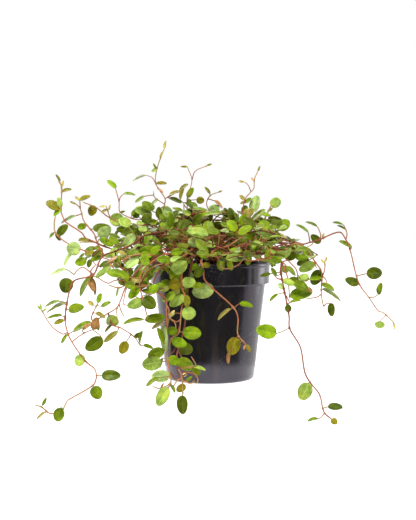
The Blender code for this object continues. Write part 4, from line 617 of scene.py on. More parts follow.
# Twigs of the front view for the looks alone: the vine, then for each twig where the bark's age starts
# and ends and its route, in millimetres, from the stem that it springs from
LATE_TWIGS = (
    ("vine_cascade_main",
     (0.6, 0.74, ((-39, 64), (-36.3, 60), (-36.8, 56), (-35, 52), (-32, 49.5), (-30.6, 47),
                 (-30.2, 43.5))),
     (0.82, 1.0, ((-38.5, 26), (-39.2, 34), (-39, 42), (-37.6, 47), (-36.2, 53.5))),
     (0.3, 0.6, ((-37.5, 7), (-35, 4), (-33.3, 2.5), (-32.6, 0), (-30, -1.6), (-26, -1.0))),
     (0.7, 0.95, ((-37, -9), (-40, -9.6), (-44, -9.8), (-48, -9.2), (-52, -7.2))),
     (0.75, 0.95, ((-36, -4), (-37.8, -7), (-41, -8.5), (-44, -9.4)))),
    ("vine_cascade_low",
     (0.35, 0.62, ((-27, 28.5), (-30.5, 26), (-33, 22.5), (-35.5, 20.5))),
     (0.45, 0.66, ((-27, 27.5), (-27.6, 23), (-26, 20), (-24.6, 16.5))),
     (0.2, 0.6, ((-29.5, 10), (-29.2, 6), (-28.4, 3), (-26.5, 1), (-24.4, -1.5))),
     (0.6, 0.8, ((-24, -3), (-21, -4), (-18.5, -5.2), (-16.3, -5), (-14, -2.6))),
     (0.88, 1.0, ((-15, 9.5), (-12.7, 11), (-14.4, 14.6), (-16.8, 18.6))),
     (0.8, 1.0, ((-25, -1), (-28, -2), (-31, -5), (-33, -9))),
     (0.1, 0.4, ((-24.5, 1), (-21.5, 3), (-20, 5.5)))),
    ("vine_front_middle",
     (0.6, 0.72, ((-27, 51), (-29.5, 49.4), (-32, 50.5), (-34, 52))),
     (0.3, 0.55, ((-27.5, 46), (-28.4, 42), (-28.8, 38.5), (-32, 37)))),
    ("vine_left_runner",
     (0.45, 0.85, ((-106, 92.5), (-104.6, 95.5), (-102, 98.5), (-100.8, 100))),
     (0.15, 0.35, ((-69.5, 117.5), (-69.2, 113), (-69, 109), (-69.5, 104.5))),
     (0.05, 0.3, ((-83.5, 112), (-83, 108.5), (-83.6, 105), (-82.5, 102))),
     (0.55, 0.75, ((-94.5, 107.5), (-95, 111), (-96.6, 114.5), (-98.4, 117.5))),
     (0.72, 0.95, ((-96, 106.8), (-91, 105), (-87, 103), (-82.5, 100.4)))),
    ("vine_left_crest",
     (0.6, 0.8, ((-97, 118.5), (-100, 115.5), (-103.5, 112.2)))),
    ("vine_left_hanging",
     (0.62, 0.95, ((-81.5, 63.5), (-82.4, 60), (-82.3, 56), (-82, 52))),
     (0.7, 1.0, ((-80.5, 65), (-79.2, 60.5), (-77.6, 57), (-76, 54.2))),
     (0.2, 0.45, ((-72.8, 82.5), (-71.4, 86.5), (-70, 89.8))),
     (0.1, 0.35, ((-73.5, 82), (-76.4, 83.6), (-78.6, 86.8), (-78.4, 90))),
     (0.45, 0.75, ((-73, 82), (-69, 81.5), (-65, 81), (-62.8, 82.3)))),
    ("vine_cascade_left",
     (0.75, 0.9, ((-77, 66), (-75.6, 64.4), (-72.6, 64))),
     (0.15, 0.4, ((-62, 82), (-60, 85.5), (-58, 88.5), (-55, 93), (-51.5, 97.5))),
     (0.6, 0.9, ((-62, 81.8), (-58, 81.8), (-54.5, 80.5))),
     (0.25, 0.55, ((-61.7, 79.5), (-59.6, 76.4), (-57, 74.8), (-51, 73.4))),
     (0.35, 0.6, ((-60.2, 70.5), (-63, 70.4), (-66, 71.8)))),
    ("vine_crown_left",
     (0.62, 0.8, ((-79.5, 99.5), (-77.6, 96.6), (-74, 95.3), (-70, 95.8), (-66.8, 97))),
     (0.6, 0.72, ((-48.5, 107.5), (-51, 105), (-54, 102), (-56.6, 100)))),
    ("vine_top_right",
     (0.45, 0.68, ((14, 125), (15, 130), (17.6, 134.5), (20.6, 138.6))),
     (0.5, 0.75, ((11, 125), (11.2, 130), (13.2, 134.8), (15.6, 138.8))),
     (0.55, 0.7, ((12, 124.5), (9.6, 126), (7.6, 128.4)))),
    ("vine_top_middle",
     (0.55, 0.72, ((2, 139), (6, 138.6), (10, 139), (14.6, 138.2))),
     (0.5, 0.66, ((4.2, 119.5), (-1, 120.6), (-5, 123.6), (-11, 126.2)))),
    ("vine_top_pink",
     (0.15, 0.4, ((-28, 122), (-25, 119.2), (-20, 117), (-16, 115.4), (-12, 112))),
     (0.3, 0.6, ((-23, 131), (-26.5, 130), (-29.5, 132.5), (-31, 136.5)))),
    ("vine_front_middle",
     (0.05, 0.3, ((-18, 106), (-23, 106.8), (-29, 105.4)))),
    ("vine_crown_middle",
     (0.25, 0.5, ((-9, 107), (-11, 110.5), (-14.2, 115)))),
    ("vine_rim_loop",
     (0.1, 0.35, ((20, 110), (15, 106.8), (9, 104.6), (2, 104.5), (-5, 105.5))),
     (0.05, 0.3, ((24, 114.5), (18, 112), (12, 108.6), (8, 106)))),
    ("vine_right_arch",
     (0.62, 0.72, ((42, 121.5), (39, 123.6), (36, 126.8)))),
    ("vine_right_short",
     (0.1, 0.35, ((35, 118), (40, 115.9), (46, 115.5), (51.5, 113.4))),
     (0.15, 0.45, ((38, 122), (43, 119.5), (47, 116.5), (48.5, 112.5)))),
    ("vine_right_runner",
     (0.6, 0.75, ((63, 101.5), (65.6, 100.6), (67.6, 98))),
     (0.45, 0.7, ((62.6, 102.5), (68, 103.6), (72, 100), (75.6, 96), (77, 91.6))),
     (0.5, 0.7, ((65.6, 74), (68, 70.6), (70, 66))),
     (0.55, 0.9, ((63, 86.5), (59.5, 87.6), (56.2, 90.6)))),
    ("vine_right_drop",
     (0.8, 1.0, ((98.3, 89.3), (101, 88), (102.6, 85), (101.6, 82.2))),
     (0.75, 0.95, ((92, 103), (92.6, 99.6), (94, 96.6)))),
    ("vine_right_arch",
     (0.8, 0.95, ((91, 120.6), (90.4, 118.4), (88, 116.6), (85, 115.4))),
     (0.55, 0.75, ((56.5, 119), (57.6, 116), (56.4, 112.5), (54, 110)))),
)
TWIG_SHIFTS = (0, -3, 3, -6, 7, -10, -15)

# Leaves of the front view for the looks alone: the vine, then each leaf's base, tip, width and tone
LATE_LEAVES = (
    ("vine_front_pot", (16.9, 22.5, 15.2, 12.0, 3.4, "t")),
    ("vine_cascade_main", (-36.2, 53.5, -32, 59.8, 2.6, "c"), (-44, -9.5, -41, -4.5, 1.8, "t")),
    ("vine_cascade_low", (-24.5, 1.5, -20.5, 3.5, 3.0, "c")),
    ("vine_left_runner", (-106.5, 86, -102.5, 77, 6, "t"), (-103.5, 92, -107, 84, 4, "t")),
    ("vine_left_crest", (-103, 113, -98, 117, 3, "t")),
    ("vine_left_runner", (-97.5, 98, -89.5, 103.5, 3.6, "d"), (-96.5, 111.5, -104.5, 107.5, 4.5, "d"),
     (-88.5, 101, -84.5, 96.5, 2.2, "r")),
    ("vine_top_pink", (-26.5, 157.5, -23.5, 167.5, 3, "o"), (-19.5, 158, -16, 150.5, 3.4, "g")),
    ("vine_right_runner", (77.6, 86.5, 86.7, 91.3, 6, "p"), (84.3, 79.8, 90.5, 76, 4, "t")),
    ("vine_left_runner", (-102.5, 111, -110.8, 108.8, 4, "o"), (-105.5, 104.5, -107.5, 97.5, 4.5, "d")),
    ("vine_left_crest", (-107, 121.5, -115.5, 121.8, 3, "o"), (-110.5, 110, -115.5, 106, 2.5, "w")),
    ("vine_cascade_main", (-41.5, 30.5, -46.2, 44, 5, "g"), (-41.5, 17, -45.5, 8.5, 3, "g")),
    ("vine_left_hanging", (-91.2, 47, -88.8, 55.5, 3.5, "w"), (-98.5, 51.5, -99.5, 41.5, 3.5, "g")),
)
LATE_LEAF_SEED = 9

# A leaf's colour from above and from below, by tone. Tone d is the green darkened as painted shade, for
# leaves in the shade of the crown, and tone w is a paler, whitish green that paints a sheen
TONES = {
    "b": ((0.155, 0.255, 0.003), (0.24, 0.31, 0.03)),
    "g": ((0.125, 0.190, 0.003), (0.21, 0.26, 0.03)),
    "d": ((0.060, 0.088, 0.001), (0.14, 0.17, 0.015)),
    "p": ((0.26, 0.37, 0.06), (0.22, 0.32, 0.04)),
    "y": ((0.35, 0.295, 0.07), (0.40, 0.36, 0.10)),
    "o": ((0.16, 0.145, 0.004), (0.23, 0.21, 0.03)),
    "w": ((0.30, 0.41, 0.12), (0.30, 0.39, 0.11)),
    "t": ((0.30, 0.15, 0.05), (0.32, 0.19, 0.07)),
    "r": ((0.52, 0.24, 0.12), (0.50, 0.26, 0.13)),
    "c": ((0.62, 0.47, 0.17), (0.62, 0.47, 0.17)),
}
LEAF_RIM = (0.30, 0.24, 0.06)

# Plain roughness and specular level of each finish, and for leaves the range of their roughness
UPPER_GLOSS = (0.36, 0.2, 0.28, 0.5)
LOWER_GLOSS = (0.55, 0.09, 0.46, 0.66)
BARK_GLOSS = (0.5, 0.2)
STALK_GLOSS = (0.45, 0.2)
PLASTIC_GLOSS = (0.2, 0.7)
PEAT_GLOSS = (0.95, 0.25)
FLOOR_GLOSS = (0.6, 0.2)

# Noise as scale, detail and roughness, with how it is stretched
# The leaf's fine patches carry painted shade and a painted sheen, and its broad blotches yellower colour
# and painted shade
LEAF_SHADE_AND_SHEEN_PATCHES = (300, 2.0, 0.5)
LEAF_BLOTCHES_AND_SHADE = (120, 1.0, 0.5)
BARK_DRIFT = (80, 2.0, 0.5)
BARK_GRAIN = (1500, 3.0, 0.6)
STALK_DRIFT = (140, 1.0, 0.5)
STALK_GRAIN = (1800, 2.0, 0.5)
SMEARS = (38, 4.0, 0.62, (1.0, 1.0, 0.45))
SPOTS = (420, 2.0, 0.5)
STREAKING = (95, 2.0, 0.55, (1.0, 1.0, 0.05))
ORANGE_PEEL = (260, 1.0, 0.5)
PEAT_CLODS = (320, 5.0, 0.7)
PEAT_GRAIN = (1300, 3.0, 0.6)

# Relief as strength and height
LEAF_RELIEF = (0.3, 0.0003)
BARK_RELIEF = (0.4, 0.0002)
STALK_RELIEF = (0.3, 0.00015)
PLASTIC_RELIEF = (0.10, 0.0004)
PEAT_RELIEF = (0.9, 0.0012)

# A leaf's midrib and side veins: where they lie, and how much paler they are
RIB_SPAN = (0.016, 0.055)
RIB_PALER = 0.42
VEIN_SPAN = (0.72, 1.0)
VEIN_PALER = 0.18
VEIN_SLANT = 0.75
VEIN_WAVES = 31.0
LEAF_TINT = (0.80, 1.0, 0.40)
LEAF_DEPTH = (0.4, 0.8, 0.15)
YELLOWER = (1.6, 1.2, 0.9)

# Bark by age, the flecks on it and the colours of stalks
BARK = (
    (0.0, (0.075, 0.018, 0.006)), (0.25, (0.12, 0.028, 0.009)), (0.48, (0.20, 0.052, 0.018)),
    (0.66, (0.36, 0.105, 0.042)), (0.84, (0.37, 0.17, 0.06)), (1.0, (0.28, 0.21, 0.05)),
)
BARK_FLECK = (0.16, 0.05, 0.03)
STALK_PINK = (0.24, 0.085, 0.030)
STALK_GREEN = (0.19, 0.17, 0.03)
STALK_FLECK = (0.22, 0.09, 0.05)

# Pot and soil colours
PLASTIC = (0.0095, 0.009, 0.0105)
PLASTIC_TINT = (0.90, 0.82, 1.0)
DRIED_WATER = (0.11, 0.10, 0.105)
STREAKS = (0.030, 0.023, 0.018)
PEAT_DARK = (0.018, 0.010, 0.006)
PEAT_LIGHT = (0.085, 0.048, 0.026)
PEAT_FIBRE = (0.20, 0.13, 0.075)

# The pot's section, from its floor inside over the rim to its foot: radius and height
POT_SECTION = (
    (0, BASE_THICKNESS),
    (BASE_RADIUS - WALL, BASE_THICKNESS),
    (BODY_TOP_RADIUS - WALL, COLLAR_BOTTOM),
    (COLLAR_RADIUS - WALL, COLLAR_BOTTOM + WALL),
    (RIM_RADIUS - WALL, POT_HEIGHT - 0.0006),
    (RIM_RADIUS - WALL + 0.0004, POT_HEIGHT),
    (RIM_RADIUS - 0.0004, POT_HEIGHT),
    (RIM_RADIUS, POT_HEIGHT - 0.0009),
    (RIM_RADIUS - 0.0001, POT_HEIGHT - 0.0024),
    (RIM_RADIUS - 0.0006, POT_HEIGHT - 0.0032),
    (COLLAR_RADIUS, COLLAR_BOTTOM + 0.0005),
    (COLLAR_RADIUS - 0.0004, COLLAR_BOTTOM),
    (BODY_TOP_RADIUS + 0.0004, COLLAR_BOTTOM - 0.0004),
    (BODY_TOP_RADIUS, COLLAR_BOTTOM - 0.0012),
    (BASE_RADIUS + 0.0003, 0.0030),
    (BASE_RADIUS - 0.0006, 0.0008),
    (BASE_RADIUS - 0.0022, 0),
    (BASE_RADIUS - 0.0045, 0),
    (BASE_RADIUS - 0.0055, 0.0006),
    (0, 0.0006),
)
POT_CORNER = 0.0004
POT_ROUND = 96
CORNER_STEPS = 4
LARGEST_CUT = 0.45
DRILL_SIDES = 24
DRILL_DEPTH = 0.02
SHARP_ANGLE = 40

# Crumbs on the soil
CRUMB_SEED = 77
CRUMBS = 520
CRUMB_FIELD = 0.0478
CRUMB_SIZES = (0.0008, 0.0021)
CRUMB_OFF_STEM = 0.0014
CRUMB_SUNK = 0.0003
CRUMB_STRETCH = ((0.7, 1.6), (0.6, 1.1), (0.4, 0.8))
CRUMB_TILT = 0.5
CRUMB_ROUGHNESS = 0.35
CRUMB_GRAIN = 900
CRUMB_SHIFT = (9, 700)
CROWN_REACH = 0.05

# Studio: the floors, and each soft light's place, width, height and power
FLOOR_GREY = (0.5, 0.5, 0.5)
FLOOR_REACH = 6.0
FLOOR_HEIGHT = -0.0003
FLOOR_GLOW = 0.80
NEAR_FLOOR_HEIGHT = -0.0002
NEAR_FLOOR_REACH = 0.04
NEAR_FLOOR_SIDES = 48
NEAR_FLOOR_GLOW = 1.3
WHITE = (1, 1, 1)
LIGHT_AIM = (0, 0, 0.09)
LIGHTS = (
    ("key", (-0.45, -0.75, 1.15), 0.6, 0.6, 22),
    ("fill", (0.9, -0.9, 0.6), 0.7, 0.9, 7),
    ("edge", (0.75, 0.35, 0.30), 0.35, 0.8, 2.5),
    ("back", (-0.4, 0.9, 0.9), 0.9, 0.6, 9),
)
SKY_LEAN = 0.3
SKY_RIGHT = (0.05, 0.15, 0.05, 1.15)
SKY_TOP = (0.3, 0.8)
SKY_TOP_STRENGTH = 0.75
SKY_FOOT = (-0.75, -0.5, 0.2, 0.0)


def drawn_to_world(view):
    """Points of the front view, as rows of across, up and depth, in world coordinates"""
    spread = 1 + view[:, 2] / EYE_DISTANCE
    return np.stack((view[:, 0] * spread, view[:, 2],
                     EYE_HEIGHT - (EYE_HEIGHT - view[:, 1]) * spread), axis=1)


def world_to_drawn(world):
    """The reverse of drawn_to_world"""
    spread = 1 + world[:, 1] / EYE_DISTANCE
    return np.stack((world[:, 0] / spread,
                     EYE_HEIGHT - (EYE_HEIGHT - world[:, 2]) / spread, world[:, 1]), axis=1)


def deepest(height, lift):
    """How far back a drawn height can lie before it sinks below the surface the pot stands on"""
    room = np.maximum(EYE_HEIGHT - np.asarray(height, float), TINY)
    return EYE_DISTANCE * ((EYE_HEIGHT - lift) / room - 1)


def pot_radius(height):
    """The pot's outer radius at a height"""
    if height > COLLAR_BOTTOM:
        return RIM_RADIUS
    return BASE_RADIUS + (BODY_TOP_RADIUS - BASE_RADIUS) * max(height, 0) / COLLAR_BOTTOM


def with_depths(points, first, last):
    """A drawn route in metres, with each depth left out filled in between its neighbours"""
    flat = np.array([point[:2] for point in points], float) * MM
    lengths = np.linalg.norm(np.diff(flat, axis=0), axis=1)
    along = np.concatenate(((0,), np.cumsum(lengths)))
    known = {index: point[2] * MM for index, point in enumerate(points) if len(point) == 3}
    if first is not None:
        known[0] = first
    known.setdefault(len(points) - 1, last)
    order = sorted(known)
    depths = np.interp(along, along[order], [known[index] for index in order])
    return np.column_stack((flat, depths))


def smooth(view, step):
    """Points about one step apart on a smooth curve through the given ones"""
    ends = np.vstack((2 * view[0] - view[1], view, 2 * view[-1] - view[-2]))
    world = drawn_to_world(view)
    curve = []
    for index, (a, b, c, d) in enumerate(zip(ends, ends[1:], ends[2:], ends[3:])):
        count = max(1, round(float(np.linalg.norm(world[index + 1] - world[index])) / step))
        for turn in range(count):
            t = turn / count
            curve.append(0.5 * (2 * b + (c - a) * t + (2 * a - 5 * b + 4 * c - d) * t ** 2
                                + (3 * b - a - 3 * c + d) * t ** 3))
    curve.append(view[-1])
    return np.array(curve)


def root_places(count):
    """Places for the stems on the soil, spread like the seeds of a sunflower"""
    places = []
    for index in range(count):
        reach = ROOT_DISC * math.sqrt((index + 0.5) / count)
        turn = index * math.radians(SUNFLOWER_TURN)
        places.append(Vector((reach * math.cos(turn), reach * math.sin(turn))))
    return places


def rooted(route, places):
    """A route that starts upright in the free place on the soil that lies nearest its course"""
    start = drawn_to_world(route[:1])[0]
    aim = Vector((start[0], start[1]))
    if aim.length > ROOT_DISC:
        aim *= ROOT_DISC / aim.length
    root = min(places, key=lambda place: (place - aim).length)
    places.remove(root)
    foot = SOIL_TOP - HOLE_DEPTH
    heights = (foot, foot + HOLE_DEPTH / 2, SOIL_TOP, SOIL_TOP + FIRST_RISE)
    upright = np.array([(root.x, root.y, height) for height in heights])
    return np.vstack((world_to_drawn(upright), route))


def back_route(index):
    """A drawn route for a vine behind the crown"""
    draw = random.Random(BACK_SEED + index)
    angle = math.radians(BACK_FIRST_ANGLE + BACK_SPREAD * index / (BACK_VINES - 1))
    reach = BACK_REACH[0] + BACK_REACH[1] * draw.random()
    peak = BACK_PEAK[0] + BACK_PEAK[1] * draw.random()
    end = BACK_END[0] + BACK_END[1] * draw.random()
    if math.sin(angle) > HANGS_BEYOND:
        end = BACK_HANGING_END[0] + BACK_HANGING_END[1] * draw.random()
    sway = draw.uniform(-BACK_SWAY, BACK_SWAY)
    phase = draw.uniform(0, math.tau)
    world = []
    for part in BACK_PARTS:
        bend = angle + sway * part + BACK_WAVE * math.sin(BACK_WAVES * part + phase)
        out = BACK_START + (reach - BACK_START) * min(1, part * BACK_OUTWARD)
        rise = math.sin(math.pi * min(part / BACK_PEAK_AT, 1) / 2)
        fall = max(0, part - BACK_PEAK_AT) / (1 - BACK_PEAK_AT)
        height = (BACK_FIRST_HEIGHT + (peak - BACK_FIRST_HEIGHT) * rise
                  - (peak - end) * fall ** BACK_FALL)
        world.append((out * math.cos(bend), out * math.sin(bend), height))
    return world_to_drawn(np.array(world))


class Stem:
    """One stem or twig: its drawn points, the vine it belongs to and what it springs from"""

    def __init__(self, vine, view, parent=None, joint=0):
        self.vine = vine
        self.view = view
        self.parent = parent
        self.joint = joint
        self.outside = 0
        if parent is None:
            world = drawn_to_world(view)
            radii = np.hypot(world[:, 0], world[:, 1])
            beyond = np.nonzero(radii > RIM_RADIUS + RIM_CLEAR)[0]
            self.outside = int(beyond[0]) if len(beyond) else len(view)

    def world(self):
        """The stem's points in world coordinates"""
        return drawn_to_world(self.view)


def nearest_joint(stems, x, z):
    """The stem of a vine, and the point on it, that lies nearest a drawn point"""
    best = None
    for stem in stems:
        gaps = np.hypot(stem.view[:, 0] - x, stem.view[:, 1] - z)
        if stem.parent is None:
            gaps[:BURIED_POINTS] += FAR
        index = int(np.argmin(gaps))
        if best is None or gaps[index] < best[0]:
            best = (gaps[index], stem, index)
    return best[1], best[2]


def lay_out(vines):
    """Every stem and twig of the plant, before they are moved clear of each other"""
    places = root_places(len(vines) + BACK_VINES)
    stems = []
    for number, (_name, route, twigs, _leaves) in enumerate(vines):
        drawn = with_depths(route, None, 0)
        own = [Stem(number, smooth(rooted(drawn, places), STEP))]
        for twig in twigs:
            parent, joint = nearest_joint(own, twig[0][0] * MM, twig[0][1] * MM)
            start = parent.view[joint]
            line = with_depths(twig, start[2], start[2] - TWIG_FORWARD)
            line[0] = start
            own.append(Stem(number, smooth(line, STEP), parent, joint))
        stems.extend(own)
    for index in range(BACK_VINES):
        drawn = back_route(index)
        stems.append(Stem(len(vines) + index, smooth(rooted(drawn, places), STEP)))
    return stems


def keep_off(stem):
    """Keep a stem above the surface that the pot stands on, and off the pot"""
    view = stem.view
    view[:, 2] = np.minimum(view[:, 2], deepest(view[:, 1], STEM_LIFT))
    world = stem.world()
    for index, (x, y, z) in enumerate(world):
        radius = math.hypot(x, y)
        if stem.parent is None and index < stem.outside:
            if radius > NEAR_RIM and z < OVER_RIM:
                spread = 1 + y / EYE_DISTANCE
                view[index, 1] = EYE_HEIGHT - (EYE_HEIGHT - OVER_RIM) / spread
        elif z < OVER_RIM:
            clear = pot_radius(z) + RIM_CLEAR
            if radius < clear and abs(x) < clear:
                view[index, 2] = math.copysign(math.sqrt(clear ** 2 - x ** 2), y)


def settle(stems):
    """Slide stems of different vines along the line of sight until they clear each other"""
    owner = np.concatenate([np.full(len(stem.view), stem.vine) for stem in stems])
    apart = owner[:, None] != owner[None, :]
    order = np.sign(owner[:, None] - owner[None, :])
    for _turn in range(SETTLE_TURNS):
        world = np.vstack([stem.world() for stem in stems])
        fixed = world[:, 2] < SOIL_TOP + ROOT_COLLAR
        fixed &= np.hypot(world[:, 0], world[:, 1]) < ROOT_ZONE
        gap = world[:, None, :] - world[None, :, :]
        distance = np.sqrt((gap ** 2).sum(axis=2))
        close = apart & (distance < STEM_SPACING)
        side = np.where(np.abs(gap[:, :, 1]) > SAME_DEPTH, np.sign(gap[:, :, 1]), order)
        push = np.where(close, side * (STEM_SPACING - distance), 0).sum(axis=1) / 2
        push = np.clip(push, -LARGEST_PUSH, LARGEST_PUSH)
        push[fixed] = 0
        first = 0
        for stem in stems:
            count = len(stem.view)
            part = push[first:first + count]
            padded = np.concatenate((part[:1], part, part[-1:]))
            stem.view[:, 2] += (NEIGHBOUR_SHARE * padded[:-2] + OWN_SHARE * part
                                + NEIGHBOUR_SHARE * padded[2:])
            stem.view[:, 2][fixed[first:first + count]] = world[first:first + count, 1][
                fixed[first:first + count]]
            if stem.parent is not None:
                shift = stem.parent.view[stem.joint, 2] - stem.view[0, 2]
                fade = np.linspace(1, 0, count)
                stem.view[:, 2] += shift * fade
            keep_off(stem)
            if stem.parent is not None:
                stem.view[0] = stem.parent.view[stem.joint]
            first += count


def thin_out(points, tolerance):
    """The indices of the points that a run of straight lines needs to stay within a tolerance"""
    keep = {0, len(points) - 1}
    spans = [(0, len(points) - 1)]
    while spans:
        first, last = spans.pop()
        if last - first < 2:
            continue
        line = points[last] - points[first]
        length = max(float(np.linalg.norm(line)), TINY)
        offsets = np.linalg.norm(np.cross(points[first + 1:last] - points[first], line), axis=1)
        worst = int(np.argmax(offsets))
        if offsets[worst] / length > tolerance:
            middle = first + 1 + worst
            keep.add(middle)
            spans.append((first, middle))
            spans.append((middle, last))
    return sorted(keep)


def straighten(stems):
    """Keep only the points that each stem's course needs, and its joints"""
    joints = {id(stem): set() for stem in stems}
    for stem in stems:
        if stem.parent is not None:
            joints[id(stem.parent)].add(stem.joint)
    kept = {}
    for stem in stems:
        world = stem.world()
        marks = {0, len(world) - 1} | joints[id(stem)]
        if stem.parent is None:
            marks.add(int(np.argmax(world[:, 2] > SOIL_TOP)))
        marks = sorted(marks)
        chosen = set()
        for first, last in zip(marks, marks[1:]):
            for index in thin_out(world[first:last + 1], STRAIGHTENING):
                chosen.add(first + index)
        kept[id(stem)] = sorted(chosen)
    for stem in stems:
        stem.points = stem.world()[kept[id(stem)]]
        if stem.parent is None:
            rooted_points = stem.points[:, 2] < SOIL_TOP
            above = int(np.argmin(rooted_points)) + 1
            stem.points[:above, :2] = stem.points[0, :2]
        else:
            stem.start = kept[id(stem.parent)].index(stem.joint)


def nearest_shares(a, b, c, d):
    """How far along the lines ab and cd their nearest points lie"""
    first = b - a
    second = d - c
    between = a - c
    ff, fs, ss = np.dot(first, first), np.dot(first, second), np.dot(second, second)
    fb, sb = np.dot(first, between), np.dot(second, between)
    spread = ff * ss - fs * fs
    along = 0.5
    if spread > TINY * ff * ss:
        along = min(max((fs * sb - ss * fb) / spread, 0), 1)
    beside = min(max((fs * along + sb) / ss, 0), 1)
    along = min(max((fs * beside - fb) / ff, 0), 1)
    return along, beside


def push_run(stem, index, share, push):
    """Move one straight run of a stem, most at the given share of its length"""
    scale = 1 / ((1 - share) ** 2 + share ** 2)
    for corner, weight in ((index, 1 - share), (index + 1, share)):
        x, y, z = stem.points[corner]
        if z > SOIL_TOP + ROOT_COLLAR or math.hypot(x, y) > RIM_RADIUS:
            stem.points[corner] += push * weight * scale


def draw_apart(stems):
    """Push the straightened stems of different vines apart where they still touch"""
    for _turn in range(CROSSING_TURNS):
        runs = [(stem, index) for stem in stems for index in range(len(stem.points) - 1)]
        starts = np.array([stem.points[index] for stem, index in runs])
        ends = np.array([stem.points[index + 1] for stem, index in runs])
        owner = np.array([stem.vine for stem, _index in runs])
        low = np.minimum(starts, ends) - STEM_CLEAR / 2
        high = np.maximum(starts, ends) + STEM_CLEAR / 2
        near = (low[:, None] < high[None, :]).all(axis=2) & (low[None, :] < high[:, None]).all(axis=2)
        near &= owner[:, None] < owner[None, :]
        touching = 0
        for one, other in zip(*np.nonzero(near)):
            along, beside = nearest_shares(starts[one], ends[one], starts[other], ends[other])
            here = starts[one] + (ends[one] - starts[one]) * along
            there = starts[other] + (ends[other] - starts[other]) * beside
            gap = here - there
            distance = float(np.linalg.norm(gap))
            if distance >= STEM_CLEAR:
                continue
            if distance < CROSSING:
                gap = np.cross(ends[one] - starts[one], ends[other] - starts[other])
            touching += 1
            missing = STEM_CLEAR * CLEAR_MARGIN - distance
            push = gap / max(float(np.linalg.norm(gap)), TINY) * missing / 2
            push_run(*runs[one], along, push)
            push_run(*runs[other], beside, -push)
        for stem in stems:
            if stem.parent is not None:
                stem.points[0] = stem.parent.points[stem.start]
            stem.points[:, 2] = np.maximum(stem.points[:, 2], STEM_LIFT)
        if not touching:
            break


def bears_leaves(point):
    """Whether a point of a stem is clear enough of the soil to bear a leaf"""
    return point[2] > SOIL_TOP + LOWEST_LEAF or math.hypot(point[0], point[1]) > RIM_RADIUS


def on_stem(stem, spot):
    """The point of a straightened stem that lies nearest a drawn spot"""
    drawn = world_to_drawn(stem.points)
    best = None
    for first, last, a, b in zip(drawn, drawn[1:], stem.points, stem.points[1:]):
        run = last[:2] - first[:2]
        part = float(np.dot(spot - first[:2], run) / max(float(np.dot(run, run)), SHORTEST_RUN))
        part = min(max(part, RUN_PARTS[0]), RUN_PARTS[1])
        gap = float(np.linalg.norm(first[:2] + run * part - spot))
        middle = a + (b - a) * part
        if bears_leaves(middle):
            if best is None or gap < best[0]:
                best = (gap, Vector(middle))
    return best


def leaf_frame(base, tip, width):
    """A leaf's place, length and true width, from its base, its tip and the width that shows"""
    along = tip - base
    length = along.length
    along.normalize()
    sight = (base - Vector((0, -EYE_DISTANCE, EYE_HEIGHT))).normalized()
    facing = (-sight + along * sight.dot(along)).normalized()
    side = along.cross(facing)
    shown = width * (1 + base.y / EYE_DISTANCE)
    true_width = shown
    if length > ROUNDED_FROM:
        true_width = max(shown, ROUNDNESS * length)
    cosine = min(1, shown / true_width)
    sine = math.sqrt(1 - cosine ** 2)
    if side.z < 0:
        sine = -sine
    normal = facing * cosine + side * sine
    across = along.cross(normal)
    place = Matrix((across, along, normal)).transposed().to_4x4()
    place.translation = base
    return place, length, true_width


def leaf_body(place, length, width, thickness, stem_point=None):
    """A leaf: a round blade, a little folded and drooping, and the stalk it grows on"""
    body = bmesh.new()
    corners = LEAF_SIDES
    if max(length, width) > LARGE_LEAF:
        corners = LARGE_SIDES
    elif width < NARROW_LEAF:
        corners = NARROW_SIDES
    bmesh.ops.create_circle(body, cap_ends=True, segments=corners, radius=1)
    low = -math.cos(math.pi / corners)
    for corner in body.verts:
        across = corner.co.x
        along = (corner.co.y - low) / (1 - low)
        if along < AT_STALK:
            across = math.copysign(STALK_WIDTH / width, across)
        lift = FOLD * abs(across) * width / 2 - DROOP * length * along ** 2
        corner.co = Vector((across * width / 2 * SIDE_REACH, along * length, lift))
    bmesh.ops.triangulate(body, faces=body.faces[:])
    thicken(body, thickness)
    if stem_point is not None:
        reach = place.inverted() @ stem_point
        foot = min(body.faces, key=lambda face: face.calc_center_median().length)
        middle = foot.calc_center_median()
        turn = Matrix.Identity(3)
        if reach.length > SHORTEST_STALK:
            turn = Vector((0, -1, 0)).rotation_difference(reach - middle).to_matrix()
            foot = bmesh.ops.extrude_discrete_faces(body, faces=[foot])["faces"][0]
        for corner in foot.verts:
            corner.co = reach + turn @ (corner.co - middle) * STALK_TAPER
    body.transform(place)
    return body


def thicken(sheet, thickness):
    """Make a closed slab of a sheet, half of its thickness to each side"""
    sheet.normal_update()
    shifts = [(corner, corner.normal * thickness / 2) for corner in sheet.verts]
    for corner, shift in shifts:
        corner.co += shift
    bmesh.ops.solidify(sheet, geom=sheet.faces[:], thickness=thickness)
    bmesh.ops.recalc_face_normals(sheet, faces=sheet.faces[:])


class Slab:
    """A closed body as a search tree with its lowest and highest corner"""

    def __init__(self, vine, corners, tree):
        array = np.array([tuple(corner) for corner in corners])
        self.vine = vine
        self.corners = array
        self.low = array.min(axis=0)
        self.high = array.max(axis=0)
        self.tree = tree

    def meets(self, other):
        """Whether the surfaces of two bodies cross"""
        if (self.low > other.high).any() or (other.low > self.high).any():
            return False
        return bool(self.tree.overlap(other.tree))


class Guard:
    """What is placed so far: whole pieces, and the blades alone"""

    def __init__(self):
        self.pieces = []
        self.blades = []

    def leaves_room(self, leaf, blade):
        """Whether a leaf crosses no other vine, and its blade no sister blade"""
        if any(piece.vine != leaf.vine and leaf.meets(piece) for piece in self.pieces):
            return False
        return not any(other.vine == leaf.vine and blade.meets(other) for other in self.blades)


def sinks_in(points):
    """Whether a point lies in the pot or below the surface the pot stands on"""
    for x, y, z in points:
        if z < LEAF_LIFT * LEAF_SINK:
            return True
        if z < POT_HEIGHT + LEAF_OVER_RIM and math.hypot(x, y) < pot_radius(z) + LEAF_OFF_POT:
            return True
    return False


